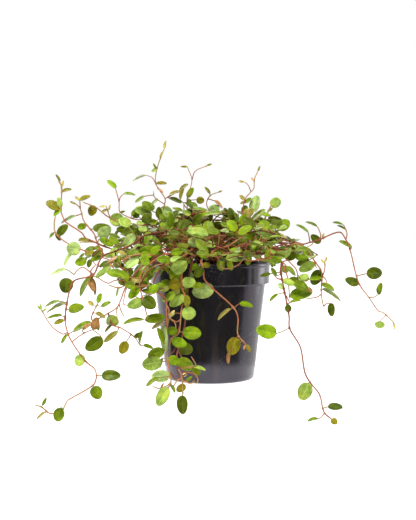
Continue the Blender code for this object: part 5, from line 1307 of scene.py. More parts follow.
def leaf_slab(vine, place, length, width, stem_point, thickness):
    """A leaf as something to keep clear of"""
    body = leaf_body(place, length, width, thickness, stem_point)
    slab = Slab(vine, [corner.co for corner in body.verts], BVHTree.FromBMesh(body))
    body.free()
    return slab


def try_leaf(guard, vine, place, length, width, stem_point, thickness):
    """Whether a leaf clears the pot, the surface, other vines and its sisters; it is then entered"""
    leaf = leaf_slab(vine, place, length, width, stem_point, thickness)
    inner = place @ Matrix.Translation((0, INNER_START * length, 0))
    blade = leaf_slab(vine, inner, INNER_LENGTH * length, INNER_WIDTH * width, None, thickness)
    free = not sinks_in(leaf.corners) and guard.leaves_room(leaf, blade)
    if free:
        guard.pieces.append(leaf)
        guard.blades.append(blade)
    return free


def drawn_leaf(guard, vine, own, leaf, draw):
    """Place a leaf of the front view on the nearest stem, as far forward as keeps it clear"""
    x, z, tip_x, tip_z, width, tone = leaf
    spot = np.array((x, z)) * MM
    end = np.array((tip_x, tip_z)) * MM
    hits = [hit for hit in (on_stem(stem, spot) for stem in own) if hit is not None]
    stem_point = min(hits, key=lambda hit: hit[0])[1]
    run = max(float(np.linalg.norm(end - spot)), SHORTEST_LEAF)
    lowest = min(spot[1], end[1]) - width * MM / 2 * abs(end[0] - spot[0]) / run
    limit = float(deepest(lowest, LEAF_LIFT))
    lean = draw.uniform(-LARGEST_LEAN, LARGEST_LEAN)
    for near in NEAR_SHIFTS:
        for shift in TIP_SHIFTS:
            depth = min(stem_point.y + near * MM, limit)
            tip_depth = min(depth + (lean + shift) * run, limit)
            ends = drawn_to_world(np.array(((*spot, depth), (*end, tip_depth))))
            place, length, true_width = leaf_frame(Vector(ends[0]), Vector(ends[1]), width * MM)
            if try_leaf(guard, vine, place, length, true_width, stem_point, ROOMY_BLADE):
                return place, length, true_width, stem_point, tone
    return None


def facing_place(base, along, up):
    """A leaf's place from its base, the way it points and roughly where its upper side looks"""
    across = along.cross(up).normalized()
    place = Matrix((across, along, across.cross(along))).transposed().to_4x4()
    place.translation = base
    return place


def walk(stem, first, step, draw):
    """Spots along a stem, each with the way the stem runs there"""
    along = np.concatenate(((0,), np.cumsum(np.linalg.norm(np.diff(stem.points, axis=0), axis=1))))
    position = first
    while position < along[-1]:
        spot, ahead = (Vector([np.interp(place, along, stem.points[:, axis]) for axis in range(3)])
                       for place in (position, position + LOOK_AHEAD))
        if (ahead - spot).length > 0:
            yield spot, (ahead - spot).normalized()
        position += step * draw.uniform(*WALK_STEPS)


def any_vector(draw, ranges):
    """A vector with each part drawn from its range, where a range of no width takes no draw"""
    return Vector([low if low == high else draw.uniform(low, high) for low, high in ranges])


def sideways(onward, side, draw, along, rise):
    """The way a leaf springs from a stem: to one side, somewhat along the stem and up"""
    out = onward.cross(Vector((0, 0, 1))).normalized() * side
    out += onward * draw.uniform(*along)
    out.z += draw.uniform(*rise)
    out.normalize()
    return out


def back_leaves(guard, vine, stem):
    """Leaves on alternate sides of a vine behind the crown"""
    draw = random.Random(BACK_LEAF_SEED + vine)
    leaves = []
    side = 1
    for spot, onward in walk(stem, *BACK_LEAF_WALK, draw):
        for _attempt in range(BACK_LEAF_TRIES if bears_leaves(spot) else 0):
            out = sideways(onward, side, draw, BACK_ALONG, BACK_RISE)
            base = spot + out * draw.uniform(*BACK_STALKS)
            length = draw.uniform(*BACK_LENGTHS)
            along = (out + any_vector(draw, BACK_TURN)).normalized()
            place = facing_place(base, along, any_vector(draw, BACK_FACING))
            width = length * draw.uniform(*BACK_ROUNDNESS)
            if try_leaf(guard, vine, place, length, width, spot, ROOMY_BLADE):
                leaves.append((place, length, width, spot, draw.choice(BACK_LEAF_TONES)))
                break
        side = -side
    return leaves


def new_object(name, content, collection):
    """A new object in a collection"""
    made = bpy.data.objects.new(name, content)
    collection.objects.link(made)
    return made


def three_sided_section():
    """The section of every stem, as a guide curve of unit radius"""
    ring = bpy.data.curves.new("stem_section", "CURVE")
    spline = ring.splines.new("POLY")
    spline.points.add(2)
    spline.use_cyclic_u = True
    for index, corner in enumerate(spline.points):
        angle = -math.tau * index / 3
        corner.co = (math.cos(angle), math.sin(angle), 0, 1)
    section = new_object("stem_section", ring, bpy.context.scene.collection)
    section.hide_render = True
    section.display_type = "WIRE"
    return section


def tube_mesh(section, points, first_radius, last_radius):
    """A stem as a mesh: a bent wire that tapers evenly, its caps welded on"""
    wire = bpy.data.curves.new("stem", "CURVE")
    wire.dimensions = "3D"
    wire.bevel_mode = "OBJECT"
    wire.bevel_object = section
    wire.use_fill_caps = True
    spline = wire.splines.new("POLY")
    spline.points.add(len(points) - 1)
    for index, (knot, point) in enumerate(zip(spline.points, points)):
        knot.co = (*point, 1)
        part = index / (len(points) - 1)
        knot.radius = first_radius + (last_radius - first_radius) * part
    holder = new_object("stem", wire, bpy.context.scene.collection)
    bpy.context.view_layer.update()
    shaped = holder.evaluated_get(bpy.context.evaluated_depsgraph_get())
    mesh = bpy.data.meshes.new_from_object(shaped)
    bpy.data.objects.remove(holder)
    bpy.data.curves.remove(wire)
    edit = bmesh.new()
    edit.from_mesh(mesh)
    bmesh.ops.remove_doubles(edit, verts=edit.verts[:], dist=WELD)
    edit.to_mesh(mesh)
    edit.free()
    return mesh


def tube_slab(section, vine, points, foot, tip):
    """A stem or twig as something to keep clear of"""
    mesh = tube_mesh(section, points, foot, tip)
    corners = [corner.co.copy() for corner in mesh.vertices]
    tree = BVHTree.FromPolygons(corners, [tuple(face.vertices) for face in mesh.polygons])
    bpy.data.meshes.remove(mesh)
    return Slab(vine, corners, tree)


def guard_stems(section, guard, stems):
    """Enter every stem as something to keep clear of"""
    for stem in stems:
        foot, tip = (ROOT_STEM, TIP_STEM) if stem.parent is None else (TWIG_STEM, TWIG_TIP)
        slab = tube_slab(section, stem.vine, stem.points, foot + LEAF_CLEAR, tip + LEAF_CLEAR)
        guard.pieces.append(slab)


def grow(section, guard):
    """The stems of every vine and the leaves on each, all clear of the other vines"""
    stems = lay_out(VINES)
    settle(stems)
    straighten(stems)
    draw_apart(stems)
    guard_stems(section, guard, stems)
    names = [vine[0] for vine in VINES] + [f"vine_back_{i + 1}" for i in range(BACK_VINES)]
    leaves = []
    for number in range(len(names)):
        own = [stem for stem in stems if stem.vine == number]
        draw = random.Random(number)
        if number < len(VINES):
            placed = [drawn_leaf(guard, number, own, leaf, draw) for leaf in VINES[number][3]]
            leaves.append([leaf for leaf in placed if leaf is not None])
        else:
            leaves.append(back_leaves(guard, number, own[0]))
    return names, stems, leaves


def feed(tree, made, inputs):
    """Give a node's inputs other sockets, colours or numbers"""
    for key, value in inputs.items():
        socket = made.inputs[key]
        if isinstance(value, bpy.types.NodeSocket):
            tree.links.new(value, socket)
        elif socket.type == "RGBA":
            socket.default_value = (*value, 1)
        else:
            socket.default_value = value


def node(tree, kind, inputs, **settings):
    """A shader node with its inputs and settings"""
    made = tree.nodes.new(kind)
    for key, value in settings.items():
        setattr(made, key, value)
    feed(tree, made, inputs)
    return made


def mixed(tree, factor, first, second):
    """The colour between two, each a socket or a plain colour"""
    return node(tree, "ShaderNodeMix", {0: factor, 6: first, 7: second}, data_type="RGBA").outputs[2]


def maths(tree, operation, *values, clamp=False):
    """The result of a sum on sockets and numbers"""
    inputs = dict(enumerate(values))
    return node(tree, "ShaderNodeMath", inputs, operation=operation, use_clamp=clamp).outputs[0]


def ranged(tree, value, low, high, to_low=0.0, to_high=1.0):
    """A value mapped smoothly from one range to another"""
    inputs = {"Value": value, "From Min": low, "From Max": high, "To Min": to_low, "To Max": to_high}
    made = node(tree, "ShaderNodeMapRange", inputs, interpolation_type="SMOOTHSTEP")
    return made.outputs["Result"]


def coated(tree, base, coats):
    """A colour under coats, each with its mask, the mask's range, its strength and its colour"""
    for mask, low, high, strength, colour in coats:
        base = mixed(tree, ranged(tree, mask, low, high, 0.0, strength), base, colour)
    return base


def speckle(tree, scale, detail, roughness, stretch=None):
    """Noise in the object's own coordinates, from 0 to 1"""
    source = node(tree, "ShaderNodeTexCoord", {}).outputs["Object"]
    if stretch is not None:
        source = node(tree, "ShaderNodeMapping", {"Vector": source, "Scale": stretch}).outputs["Vector"]
    inputs = {"Vector": source, "Scale": scale, "Detail": detail, "Roughness": roughness}
    return node(tree, "ShaderNodeTexNoise", inputs).outputs["Fac"]


def blade_axes(tree):
    """Where a spot lies across and along its blade or stem, each from 0 to 1"""
    plan = node(tree, "ShaderNodeUVMap", {}, uv_map="blade")
    axes = node(tree, "ShaderNodeSeparateXYZ", {0: plan.outputs["UV"]})
    return axes.outputs[0], axes.outputs[1]


def new_finish(name, roughness, specular):
    """An empty finish, its tree and its shader"""
    finish = bpy.data.materials.new(name)
    finish.use_nodes = True
    tree = finish.node_tree
    shader = tree.nodes["Principled BSDF"]
    feed(tree, shader, {"Roughness": roughness, "Specular IOR Level": specular})
    return finish, tree, shader


def bumped(tree, shader, height, strength, distance):
    """Fine relief on a shader"""
    bump = node(tree, "ShaderNodeBump", {"Height": height, "Strength": strength, "Distance": distance})
    feed(tree, shader, {"Normal": bump.outputs["Normal"]})


def tinted(colour, gain, lift=0.0):
    """A colour made darker or lighter"""
    return tuple(min(1, channel * gain + lift) for channel in colour)


def leaf_finish(name, colour, gloss):
    """A leaf's skin: mottled with painted shade and a painted sheen, one half darkened as painted shade,
    with a lighter midrib, arching side veins and a quilted gloss
    """
    finish, tree, shader = new_finish(name, *gloss[:2])
    across, along = blade_axes(tree)
    side = maths(tree, "ABSOLUTE", maths(tree, "SUBTRACT", across, 0.5))
    rib = ranged(tree, side, *RIB_SPAN, 1.0, 0.0)
    sweep = maths(tree, "SUBTRACT", along, maths(tree, "MULTIPLY", side, VEIN_SLANT))
    wave = maths(tree, "SINE", maths(tree, "MULTIPLY", sweep, VEIN_WAVES))
    vein = ranged(tree, wave, *VEIN_SPAN)
    patch = speckle(tree, *LEAF_SHADE_AND_SHEEN_PATCHES)
    broad = speckle(tree, *LEAF_BLOTCHES_AND_SHADE)
    shade = node(tree, "ShaderNodeAttribute", {}, attribute_name="leaf_shade")
    yellow = tuple(min(1, channel * gain) for channel, gain in zip(colour, YELLOWER))
    # The darker colour is painted shade, laid on broad blotches, on fine patches and on one half of the
    # blade; the brighter colour is a painted sheen on fine patches
    painted_shade = tinted(colour, 0.45)
    painted_sheen = tinted(colour, 1.7, 0.01)
    pale = tinted(colour, 1.4, 0.03)
    base = mixed(tree, shade.outputs["Fac"], tinted(colour, 0.55), tinted(colour, 1.6))
    # Yellower blotches, then painted shade on blotches and patches, a painted sheen on patches and
    # painted shade on one half of the blade
    base = coated(tree, base, (
        (broad, 0.45, 0.70, 0.6, yellow), (broad, 0.52, 0.30, 0.7, painted_shade), (patch, 0.48, 0.70, 0.45, painted_shade),
        (patch, 0.50, 0.32, 0.45, painted_sheen), (across, 0.47, 0.53, 0.28, painted_shade)))
    base = mixed(tree, maths(tree, "MULTIPLY", vein, VEIN_PALER), base, pale)
    base = mixed(tree, maths(tree, "MULTIPLY", rib, RIB_PALER), base, pale)
    base = coated(tree, base, ((side, 0.44, 0.5, 0.35, LEAF_RIM),))
    quilt = maths(tree, "SUBTRACT", maths(tree, "MULTIPLY", patch, 0.8),
                  maths(tree, "ADD", maths(tree, "MULTIPLY", vein, 0.35), rib))
    bumped(tree, shader, quilt, *LEAF_RELIEF)
    feed(tree, shader, {
        "Base Color": base, "Roughness": ranged(tree, patch, 0.3, 0.8, *gloss[2:]),
        "Specular Tint": LEAF_TINT, "Subsurface Weight": 0.12,
        "Subsurface Radius": LEAF_DEPTH, "Subsurface Scale": 0.0008})
    return finish


def wire_finish():
    """Stem bark: dark red at the foot, salmon along its length and tan at the tip"""
    finish, tree, shader = new_finish("stem_bark", *BARK_GLOSS)
    drift = maths(tree, "MULTIPLY", maths(tree, "SUBTRACT", speckle(tree, *BARK_DRIFT), 0.5), 0.9)
    spot = maths(tree, "ADD", blade_axes(tree)[1], drift, clamp=True)
    age = node(tree, "ShaderNodeValToRGB", {0: spot})
    steps = age.color_ramp.elements
    for position, _colour in BARK[1:-1]:
        steps.new(position)
    for step, (_position, colour) in zip(steps, BARK):
        step.color = (*colour, 1)
    fleck = speckle(tree, *BARK_GRAIN)
    base = coated(tree, age.outputs[0], ((fleck, 0.45, 0.7, 0.5, BARK_FLECK),))
    feed(tree, shader, {"Base Color": base, "Roughness": ranged(tree, fleck, 0.3, 0.8, 0.38, 0.62)})
    bumped(tree, shader, fleck, *BARK_RELIEF)
    return finish


def stalk_finish():
    """The thin leaf stalks, pink-tan to green"""
    finish, tree, shader = new_finish("leaf_stalk", *STALK_GLOSS)
    drift = speckle(tree, *STALK_DRIFT)
    fleck = speckle(tree, *STALK_GRAIN)
    base = mixed(tree, ranged(tree, drift, 0.35, 0.65), STALK_PINK, STALK_GREEN)
    feed(tree, shader, {"Base Color": coated(tree, base, ((fleck, 0.5, 0.75, 0.4, STALK_FLECK),))})
    bumped(tree, shader, fleck, *STALK_RELIEF)
    return finish


def pot_finish():
    """Glossy black plastic with a faint orange peel and a little dried water and dust"""
    finish, tree, shader = new_finish("black_plastic", *PLASTIC_GLOSS)
    smear = speckle(tree, *SMEARS)
    spots = speckle(tree, *SPOTS)
    dust = maths(tree, "MULTIPLY", ranged(tree, smear, 0.52, 0.74), ranged(tree, spots, 0.5, 0.68))
    base = mixed(tree, maths(tree, "MULTIPLY", dust, 0.4), PLASTIC, DRIED_WATER)
    streak = speckle(tree, *STREAKING)
    rough = maths(tree, "ADD", ranged(tree, smear, 0.35, 0.7, 0.13, 0.26),
                  maths(tree, "MULTIPLY", dust, 0.25))
    feed(tree, shader, {
        "Base Color": coated(tree, base, ((streak, 0.5, 0.68, 0.7, STREAKS),)),
        "Roughness": rough, "Specular Tint": PLASTIC_TINT})
    bumped(tree, shader, speckle(tree, *ORANGE_PEEL), *PLASTIC_RELIEF)
    return finish


def soil_finish():
    """Peat and fine bark: dark brown, grainy and matt"""
    finish, tree, shader = new_finish("peat_mix", *PEAT_GLOSS)
    coarse = speckle(tree, *PEAT_CLODS)
    fine = speckle(tree, *PEAT_GRAIN)
    base = mixed(tree, ranged(tree, coarse, 0.35, 0.65), PEAT_DARK, PEAT_LIGHT)
    feed(tree, shader, {"Base Color": coated(tree, base, ((fine, 0.62, 0.72, 0.7, PEAT_FIBRE),))})
    bumped(tree, shader, maths(tree, "ADD", coarse, maths(tree, "MULTIPLY", fine, 0.4)), *PEAT_RELIEF)
    return finish


def floor_finish(name, glow):
    """A plain pale studio surface"""
    finish, tree, shader = new_finish(name, *FLOOR_GLOSS)
    feed(tree, shader, {"Base Color": FLOOR_GREY, "Emission Color": WHITE, "Emission Strength": glow})
    return finish


class Skin:
    """The corners and faces of one piece while it is put together"""

    def __init__(self):
        self.corners = []
        self.faces = []
        self.plans = []
        self.finishes = []
        self.shades = []

    def add(self, corners, faces, plans, finishes, shade):
        """Enter closed surfaces, with each corner's plan and each face's finish"""
        start = len(self.corners)
        self.corners.extend(corners)
        self.shades.extend([shade] * len(corners))
        for face, finish in zip(faces, finishes):
            self.faces.append(tuple(start + index for index in face))
            self.plans.extend(plans[index] for index in face)
            self.finishes.append(finish)

    def keep_in(self, low, high):
        """Move corners that stick out of a box onto it"""
        for corner in self.corners:
            for axis in range(3):
                corner[axis] = min(max(corner[axis], low[axis]), high[axis])

    def mesh(self, name, materials):
        """The finished mesh"""
        mesh = bpy.data.meshes.new(name)
        mesh.from_pydata([tuple(corner) for corner in self.corners], [], self.faces)
        for material in materials:
            mesh.materials.append(material)
        mesh.polygons.foreach_set("material_index", self.finishes)
        layer = mesh.uv_layers.new(name="blade")
        layer.data.foreach_set("uv", [value for plan in self.plans for value in plan])
        shade = mesh.attributes.new("leaf_shade", "FLOAT", "POINT")
        shade.data.foreach_set("value", self.shades)
        mesh.polygons.foreach_set("use_smooth", [True] * len(mesh.polygons))
        mesh.update()
        return mesh


def flowing(points, step):
    """A smooth curve through points, with points at even steps"""
    points = [Vector(point) for point in points]
    if len(points) == 2:
        points.insert(1, (points[0] + points[1]) / 2)
    ends = [2 * points[0] - points[1], *points, 2 * points[-1] - points[-2]]
    course = []
    for before, start, end, after in zip(ends, ends[1:], ends[2:], ends[3:]):
        run = (end - start).length
        first = (end - before) / ((end - start).length + (start - before).length) * run
        last = (after - start) / ((after - end).length + (end - start).length) * run
        count = max(1, round(run / step))
        for index in range(count):
            t = index / count
            course.append((2 * t ** 3 - 3 * t ** 2 + 1) * start + (t ** 3 - 2 * t ** 2 + t) * first
                          + (3 * t ** 2 - 2 * t ** 3) * end + (t ** 3 - t ** 2) * last)
    course.append(points[-1])
    return course


def graded(first, last, count):
    """Values in even steps"""
    return [first + (last - first) * index / (count - 1) for index in range(count)]


def add_tube(skin, course, radii, sides, finish, ages):
    """A round tube along a course, closed at both ends"""
    corners = []
    plans = []
    ahead = (course[1] - course[0]).normalized()
    side = ahead.orthogonal().normalized()
    for index, (point, radius, age) in enumerate(zip(course, radii, ages)):
        if index + 1 < len(course):
            onward = course[index + 1] - course[index]
            if onward.length > TOUCHING:
                ahead = (ahead + onward.normalized()).normalized()
        side = (side - ahead * side.dot(ahead)).normalized()
        other = ahead.cross(side)
        for turn in range(sides):
            angle = math.tau * turn / sides
            corners.append(point + (side * math.cos(angle) + other * math.sin(angle)) * radius)
            plans.append((turn / sides, age))
    faces = []
    for ring in range(len(course) - 1):
        for turn in range(sides):
            beside = (turn + 1) % sides
            faces.append((ring * sides + turn, ring * sides + beside,
                          (ring + 1) * sides + beside, (ring + 1) * sides + turn))
    last = (len(course) - 1) * sides
    faces.append(tuple(reversed(range(sides))))
    faces.append(tuple(range(last, last + sides)))
    skin.add(corners, faces, plans, [finish] * len(faces), TUBE_SHADE)


def outline_share(part, slimness):
    """Half of a leaf's width at a share of its length, as a share of its half width"""
    swell, power = (first + slope * slimness for first, slope in (SWELL, BLUNTNESS))
    return max(0.0, math.sin(math.pi * min(1, part) ** swell)) ** power


def add_blade(skin, place, length, width, tone, draw):
    """A leaf's blade: a curved, slightly cupped and waved plate, thin at its edge"""
    rows, half = BLADE_ROWS, BLADE_HALF_COLUMNS
    columns = 2 * half + 1
    slimness = min(1, max(0, 1 - (width / length - SLIM_FROM) / SLIM_SPAN))
    glance = max(0, 1 - abs((place.to_3x3() @ Vector((0, 0, 1))).y) / EDGE_ON)
    fold = FOLD * (draw.uniform(*FOLDS) + CUPPED * glance)
    droop = DROOP * draw.uniform(*DROOPS)
    twist = draw.uniform(-TWIST, TWIST)
    waves = draw.uniform(*EDGE_WAVES)
    phase = draw.uniform(0, math.tau)
    ripple = EDGE_RIPPLE * width * draw.uniform(*EDGE_RIPPLES)
    top = []
    below = []
    plans = []
    for row in range(rows + 1):
        part = (1 - math.cos(math.pi * row / rows)) / 2
        reach = width / 2 * max(outline_share(part, slimness), NARROWEST)
        for column in range(-half, half + 1):
            across = column / half
            x = reach * across
            lift = fold * (math.sqrt(x * x + (KEEL * width) ** 2) - KEEL * width)
            lift -= droop * length * part ** 2
            lift += ripple * math.sin(waves * math.pi * part + phase) * across ** 2
            lift += twist * x * part
            quilting = math.sin(QUILT_WAVES * math.pi * (part - QUILT_SWEEP * abs(across)))
            lift += QUILT_HEIGHT * width * quilting * (1 - across ** 2)
            lift -= RIB_DEPTH * width * math.exp(-(across / RIB_WIDTH) ** 2)
            edge = min(1, (1 - abs(across)) * EDGE_SLOPE, part * END_SLOPE, (1 - part) * END_SLOPE)
            thick = BLADE_EDGE + (BLADE_MIDDLE - BLADE_EDGE) * max(edge, 0)
            y = length * part
            top.append(place @ Vector((x, y, lift + thick / 2)))
            below.append(place @ Vector((x, y, lift - thick / 2)))
            plans.append((0.5 + across / 2, part))
    count = len(top)
    faces = []
    finishes = []
    upper = 2 + 2 * list(TONES).index(tone)
    for row in range(rows):
        for column in range(columns - 1):
            a = row * columns + column
            b = a + 1
            c = b + columns
            d = a + columns
            faces += [(a, b, c, d), (count + d, count + c, count + b, count + a)]
            finishes += [upper, upper + 1]
    border = list(range(columns))
    border += [row * columns + columns - 1 for row in range(1, rows + 1)]
    border += [rows * columns + column for column in range(columns - 2, -1, -1)]
    border += [row * columns for row in range(rows - 1, 0, -1)]
    for a, b in zip(border, border[1:] + border[:1]):
        faces.append((b, a, count + a, count + b))
        finishes.append(upper)
    skin.add(top + below, faces, plans + plans, finishes, draw.uniform(*LEAF_SHADES))


def radius_along(course, knots, first, last):
    """A stem's radius at each point, swollen a little where leaves spring from it"""
    radii = []
    for index, point in enumerate(course):
        part = index / (len(course) - 1)
        radius = first + (last - first) * part
        near = min(((point - knot).length for knot in knots), default=1)
        radii.append(radius * (1 + KNOT_SWELL * math.exp(-(near / KNOT_REACH) ** 2)))
    return radii


def vine_skin(name, own, leaves, number):
    """One vine: its round stems, the stalks and the blades"""
    draw = random.Random(BLADE_SEED + number)
    skin = Skin()
    courses = [flowing(stem.points, WIRE_STEP) for stem in own]
    knots = []
    for _place, _length, _width, stem_point, _tone in leaves:
        knots.append(min((point for course in courses for point in course),
                         key=lambda point: (point - stem_point).length))
    for stem, course in zip(own, courses):
        wire = MAIN_WIRE if stem.parent is None else TWIG_WIRE
        ages = BARK_AGES.get(name, WHOLE_AGE) if stem.parent is None else TWIG_AGES
        if isinstance(stem, Tangle):
            wire = TANGLE_WIRE
            # Tangle twigs take low bark ages: dark bark that is partly painted shade in the crown's core
            ages = stem.ages or [draw.uniform(*ends) for ends in TANGLE_BARK_AND_SHADE_AGES]
        elif name in SLENDER_VINES:
            wire = [radius * SLENDER for radius in wire]
        radii = radius_along(course, knots, *wire)
        radii[-1] *= WIRE_END
        for point, radius in zip(course, radii):
            point.z = max(point.z, radius + WIRE_LIFT)
        add_tube(skin, course, radii, WIRE_SIDES, 0, graded(*ages, len(course)))
    for (place, length, width, _stem_point, tone), anchor in zip(leaves, knots):
        foot = place @ Vector((0, length * STALK_FOOT, 0))
        inward = place @ Vector([share * length for share in STALK_INWARD])
        middle = (anchor + foot) / 2
        if (foot - anchor).length > BENT_STALK:
            middle = middle * (1 - STALK_BEND) + inward * STALK_BEND
        course = flowing([anchor, middle, foot], STALK_STEP)
        share = min(1, max(THINNEST_STALK, length / FULL_STALK_LEAF))
        radii = [radius * share for radius in graded(*STALK_WIRE, len(course))]
        add_tube(skin, course, radii, STALK_SIDES, 1, [STALK_AGE] * len(course))
        add_blade(skin, place, length, width, tone, draw)
    return skin


class Tangle:
    """A thin twig of the looks alone, with the vine it belongs to"""

    def __init__(self, vine, points, ages=None):
        self.vine = vine
        self.parent = vine
        self.points = points
        self.ages = ages


def in_crown(point):
    """Whether a point lies inside the mound of the crown, clear of the soil"""
    x, y, z = point
    half_width, half_depth, foot, edge, rise = MOUND
    mound = (x / half_width) ** 2 + (y / half_depth) ** 2
    return mound < 1 and SOIL_TOP + foot < z < edge + rise * (1 - mound)


def scattered(draw, reach):
    """A small vector to any side"""
    return any_vector(draw, ((-reach, reach),) * 3)


def wander(start, draw):
    """A twig's course: it sets off level or rising and keeps turning a little"""
    heading = any_vector(draw, TANGLE_HEADING).normalized()
    bend = any_vector(draw, TANGLE_BEND) * TANGLE_BENDING
    points = [Vector(start)]
    for _step in range(draw.randint(*TANGLE_STEPS)):
        heading = heading + bend + scattered(draw, TANGLE_SCATTER)
        heading.normalize()
        points.append(points[-1] + heading * TANGLE_STEP)
        if not in_crown(points[-1]):
            points.pop()
            break
    return np.array(points)


def twig_slab(section, vine, points):
    """A thin twig as something to keep clear of"""
    return tube_slab(section, vine, points, *TANGLE_WIRE)


def grow_late_twigs(section, names, stems, guard):
    """The twigs that are drawn for the looks alone, each as near its stem as it stays clear"""
    for name, begin, end, route in ((name, *twig) for name, *twigs in LATE_TWIGS for twig in twigs):
        vine = names.index(name)
        courses = [point for stem in stems if stem.vine == vine
                   for point in flowing(stem.points, WIRE_STEP) if bears_leaves(point)]
        drawn = world_to_drawn(np.array(courses))
        gaps = np.hypot(drawn[:, 0] - route[0][0] * MM, drawn[:, 1] - route[0][1] * MM)
        start = drawn[int(np.argmin(gaps))]
        for shift in TWIG_SHIFTS:
            line = with_depths(route, start[2], start[2] + shift * MM)
            line[0] = start
            twig = Stem(vine, smooth(line, STEP), vine)
            keep_off(twig)
            twig.view[0] = start
            slab = twig_slab(section, vine, twig.world())
            if guard.leaves_room(slab, slab):
                guard.pieces.append(slab)
                stems.append(Tangle(vine, twig.world(), (begin, end)))
                break


def grow_late_leaves(names, stems, leaves, guard):
    """The leaves that are drawn for the looks alone"""
    draw = random.Random(LATE_LEAF_SEED)
    for name, *own_leaves in LATE_LEAVES:
        number = names.index(name)
        own = [stem for stem in stems if stem.vine == number]
        placed = [drawn_leaf(guard, number, own, leaf, draw) for leaf in own_leaves]
        leaves[number] += [leaf for leaf in placed if leaf is not None]


def grow_tangle(section, stems, guard):
    """Thin twigs through the crown, each clear of the other vines"""
    draw = random.Random(TANGLE_SEED)
    starts = [(stem.vine, spot) for stem in stems for spot, _onward in walk(stem, *TANGLE_WALK, draw)
              if in_crown(spot)]
    twigs = []
    for _twig in range(TANGLE_TWIGS):
        for _attempt in range(TANGLE_TRIES):
            vine, spot = draw.choice(starts)
            points = wander(spot, draw)
            if len(points) < TANGLE_SHORTEST:
                continue
            slab = twig_slab(section, vine, points)
            if guard.leaves_room(slab, slab):
                guard.pieces.append(slab)
                twigs.append(Tangle(vine, points))
                break
    return twigs


def seen_from_front(spots):
    """Across and up in the front view"""
    return world_to_drawn(spots)[:, :2]


def seen_from_above(spots):
    """Across and back, as seen from above"""
    return spots[:, :2]


class Coverage:
    """Which cells of a view have a blade in front of or behind them"""

    def __init__(self, seen, leaves):
        self.seen = seen
        self.cells = set()
        for group in leaves:
            for place, length, width, _stem_point, _tone in group:
                self.enter(place, length, width)

    def cells_of(self, place, length, width):
        """The cells that a blade covers"""
        half = COVER_HALF_COLUMNS
        spots = []
        for row in range(COVER_ROWS):
            part = (row + 0.5) / COVER_ROWS
            reach = width / 2 * outline_share(part, COVER_SLIMNESS)
            spots += [place @ Vector((reach * column / half, length * part, 0))
                      for column in range(-half, half + 1)]
        return {(round(one), round(other)) for one, other in self.seen(np.array(spots)) / CELL}

    def enter(self, place, length, width):
        """Mark a blade's cells as covered"""
        self.cells |= self.cells_of(place, length, width)

    def hides(self, place, length, width):
        """How much of a blade lies in cells that are covered"""
        cells = self.cells_of(place, length, width)
        return len(cells & self.cells) / len(cells)

    def leave_open(self, cell):
        """Keep the cells around one free of further leaves"""
        for across in range(-GAP_CELLS, GAP_CELLS + 1):
            for up in range(-GAP_CELLS, GAP_CELLS + 1):
                self.cells.add((cell[0] + across, cell[1] + up))


def add_leaf(guard, leaves, vine, leaf, stem_point, draw, tone=None):
    """Whether a leaf of the looks alone crosses nothing; it is then added"""
    fits = try_leaf(guard, vine, *leaf, stem_point, THIN_BLADE)
    if fits:
        leaves[vine].append((*leaf, stem_point, tone or draw.choice(FILL_TONES)))
    return fits


def in_patch(cell, patch):
    """Whether a cell of the front view lies in a round patch"""
    across, up, half_width, half_height = patch
    beside = (cell[0] * CELL / MM - across) / half_width
    above = (cell[1] * CELL / MM - up) / half_height
    return beside ** 2 + above ** 2 < 1


def cells_about(middle, reach):
    """The cells within reach of a place along one axis of the front view"""
    return range(round((middle - reach) * MM / CELL), round((middle + reach) * MM / CELL))


def thicket_cells(draw):
    """The cells of the thickets in a drawn order, each with its thicket's share"""
    shares = {}
    for *patch, share in THICKETS:
        across, up, half_width, half_height = patch
        for x in cells_about(across, half_width):
            for z in cells_about(up, half_height):
                if in_patch((x, z), patch):
                    shares[x, z] = max(share, shares.get((x, z), 0))
    for cell in shares:
        if any(in_patch(cell, patch) for patch in CLEARINGS):
            shares[cell] = 0
    cells = list(shares.items())
    draw.shuffle(cells)
    return cells


def fill_crown(stems, leaves, guard):
    """More leaves where the front view still shows gaps in the crown"""
    draw = random.Random(FILL_SEED)
    cover = Coverage(seen_from_front, leaves)
    spots = np.array([(stem.vine, *spot, *world_to_drawn(np.array([spot]))[0][:2]) for stem in stems
                      for spot, _onward in walk(stem, *FILL_WALK, draw) if bears_leaves(spot)])
    for cell, share in thicket_cells(draw):
        if cell in cover.cells:
            continue
        if draw.random() > share:
            cover.leave_open(cell)
            continue
        x, z = cell[0] * CELL, cell[1] * CELL
        gaps = np.hypot(spots[:, 4] - x, spots[:, 5] - z)
        near = list(np.nonzero((gaps > FILL_NEAREST) & (gaps < FILL_REACH))[0])
        for _attempt in range(FILL_TRIES if near else 0):
            vine, sx, sy, sz = spots[draw.choice(near)][:4]
            stem_point = Vector((sx, sy, sz))
            middle = Vector(drawn_to_world(np.array([(x, z, sy + draw.uniform(*FILL_DEPTHS))]))[0])
            away = middle - stem_point
            length = draw.uniform(*FILL_LENGTHS)
            if away.length < FILL_NEAREST:
                continue
            away = away.normalized() + scattered(draw, FILL_SCATTER)
            away.normalize()
            base = middle - away * length * 0.5
            if (base - stem_point).length > FILL_STALK:
                continue
            place = facing_place(base, away, any_vector(draw, FILL_FACING))
            leaf = (place, length, length * draw.uniform(*FILL_ROUNDNESS))
            if add_leaf(guard, leaves, int(vine), leaf, stem_point, draw):
                cover.enter(*leaf)
                break


def behind_pot(spot):
    """Whether a point lies low behind the pot, outside it"""
    return spot.y > RIM_RADIUS and spot.z > LOWEST_REAR_LEAF and abs(spot.x) < BEHIND_POT


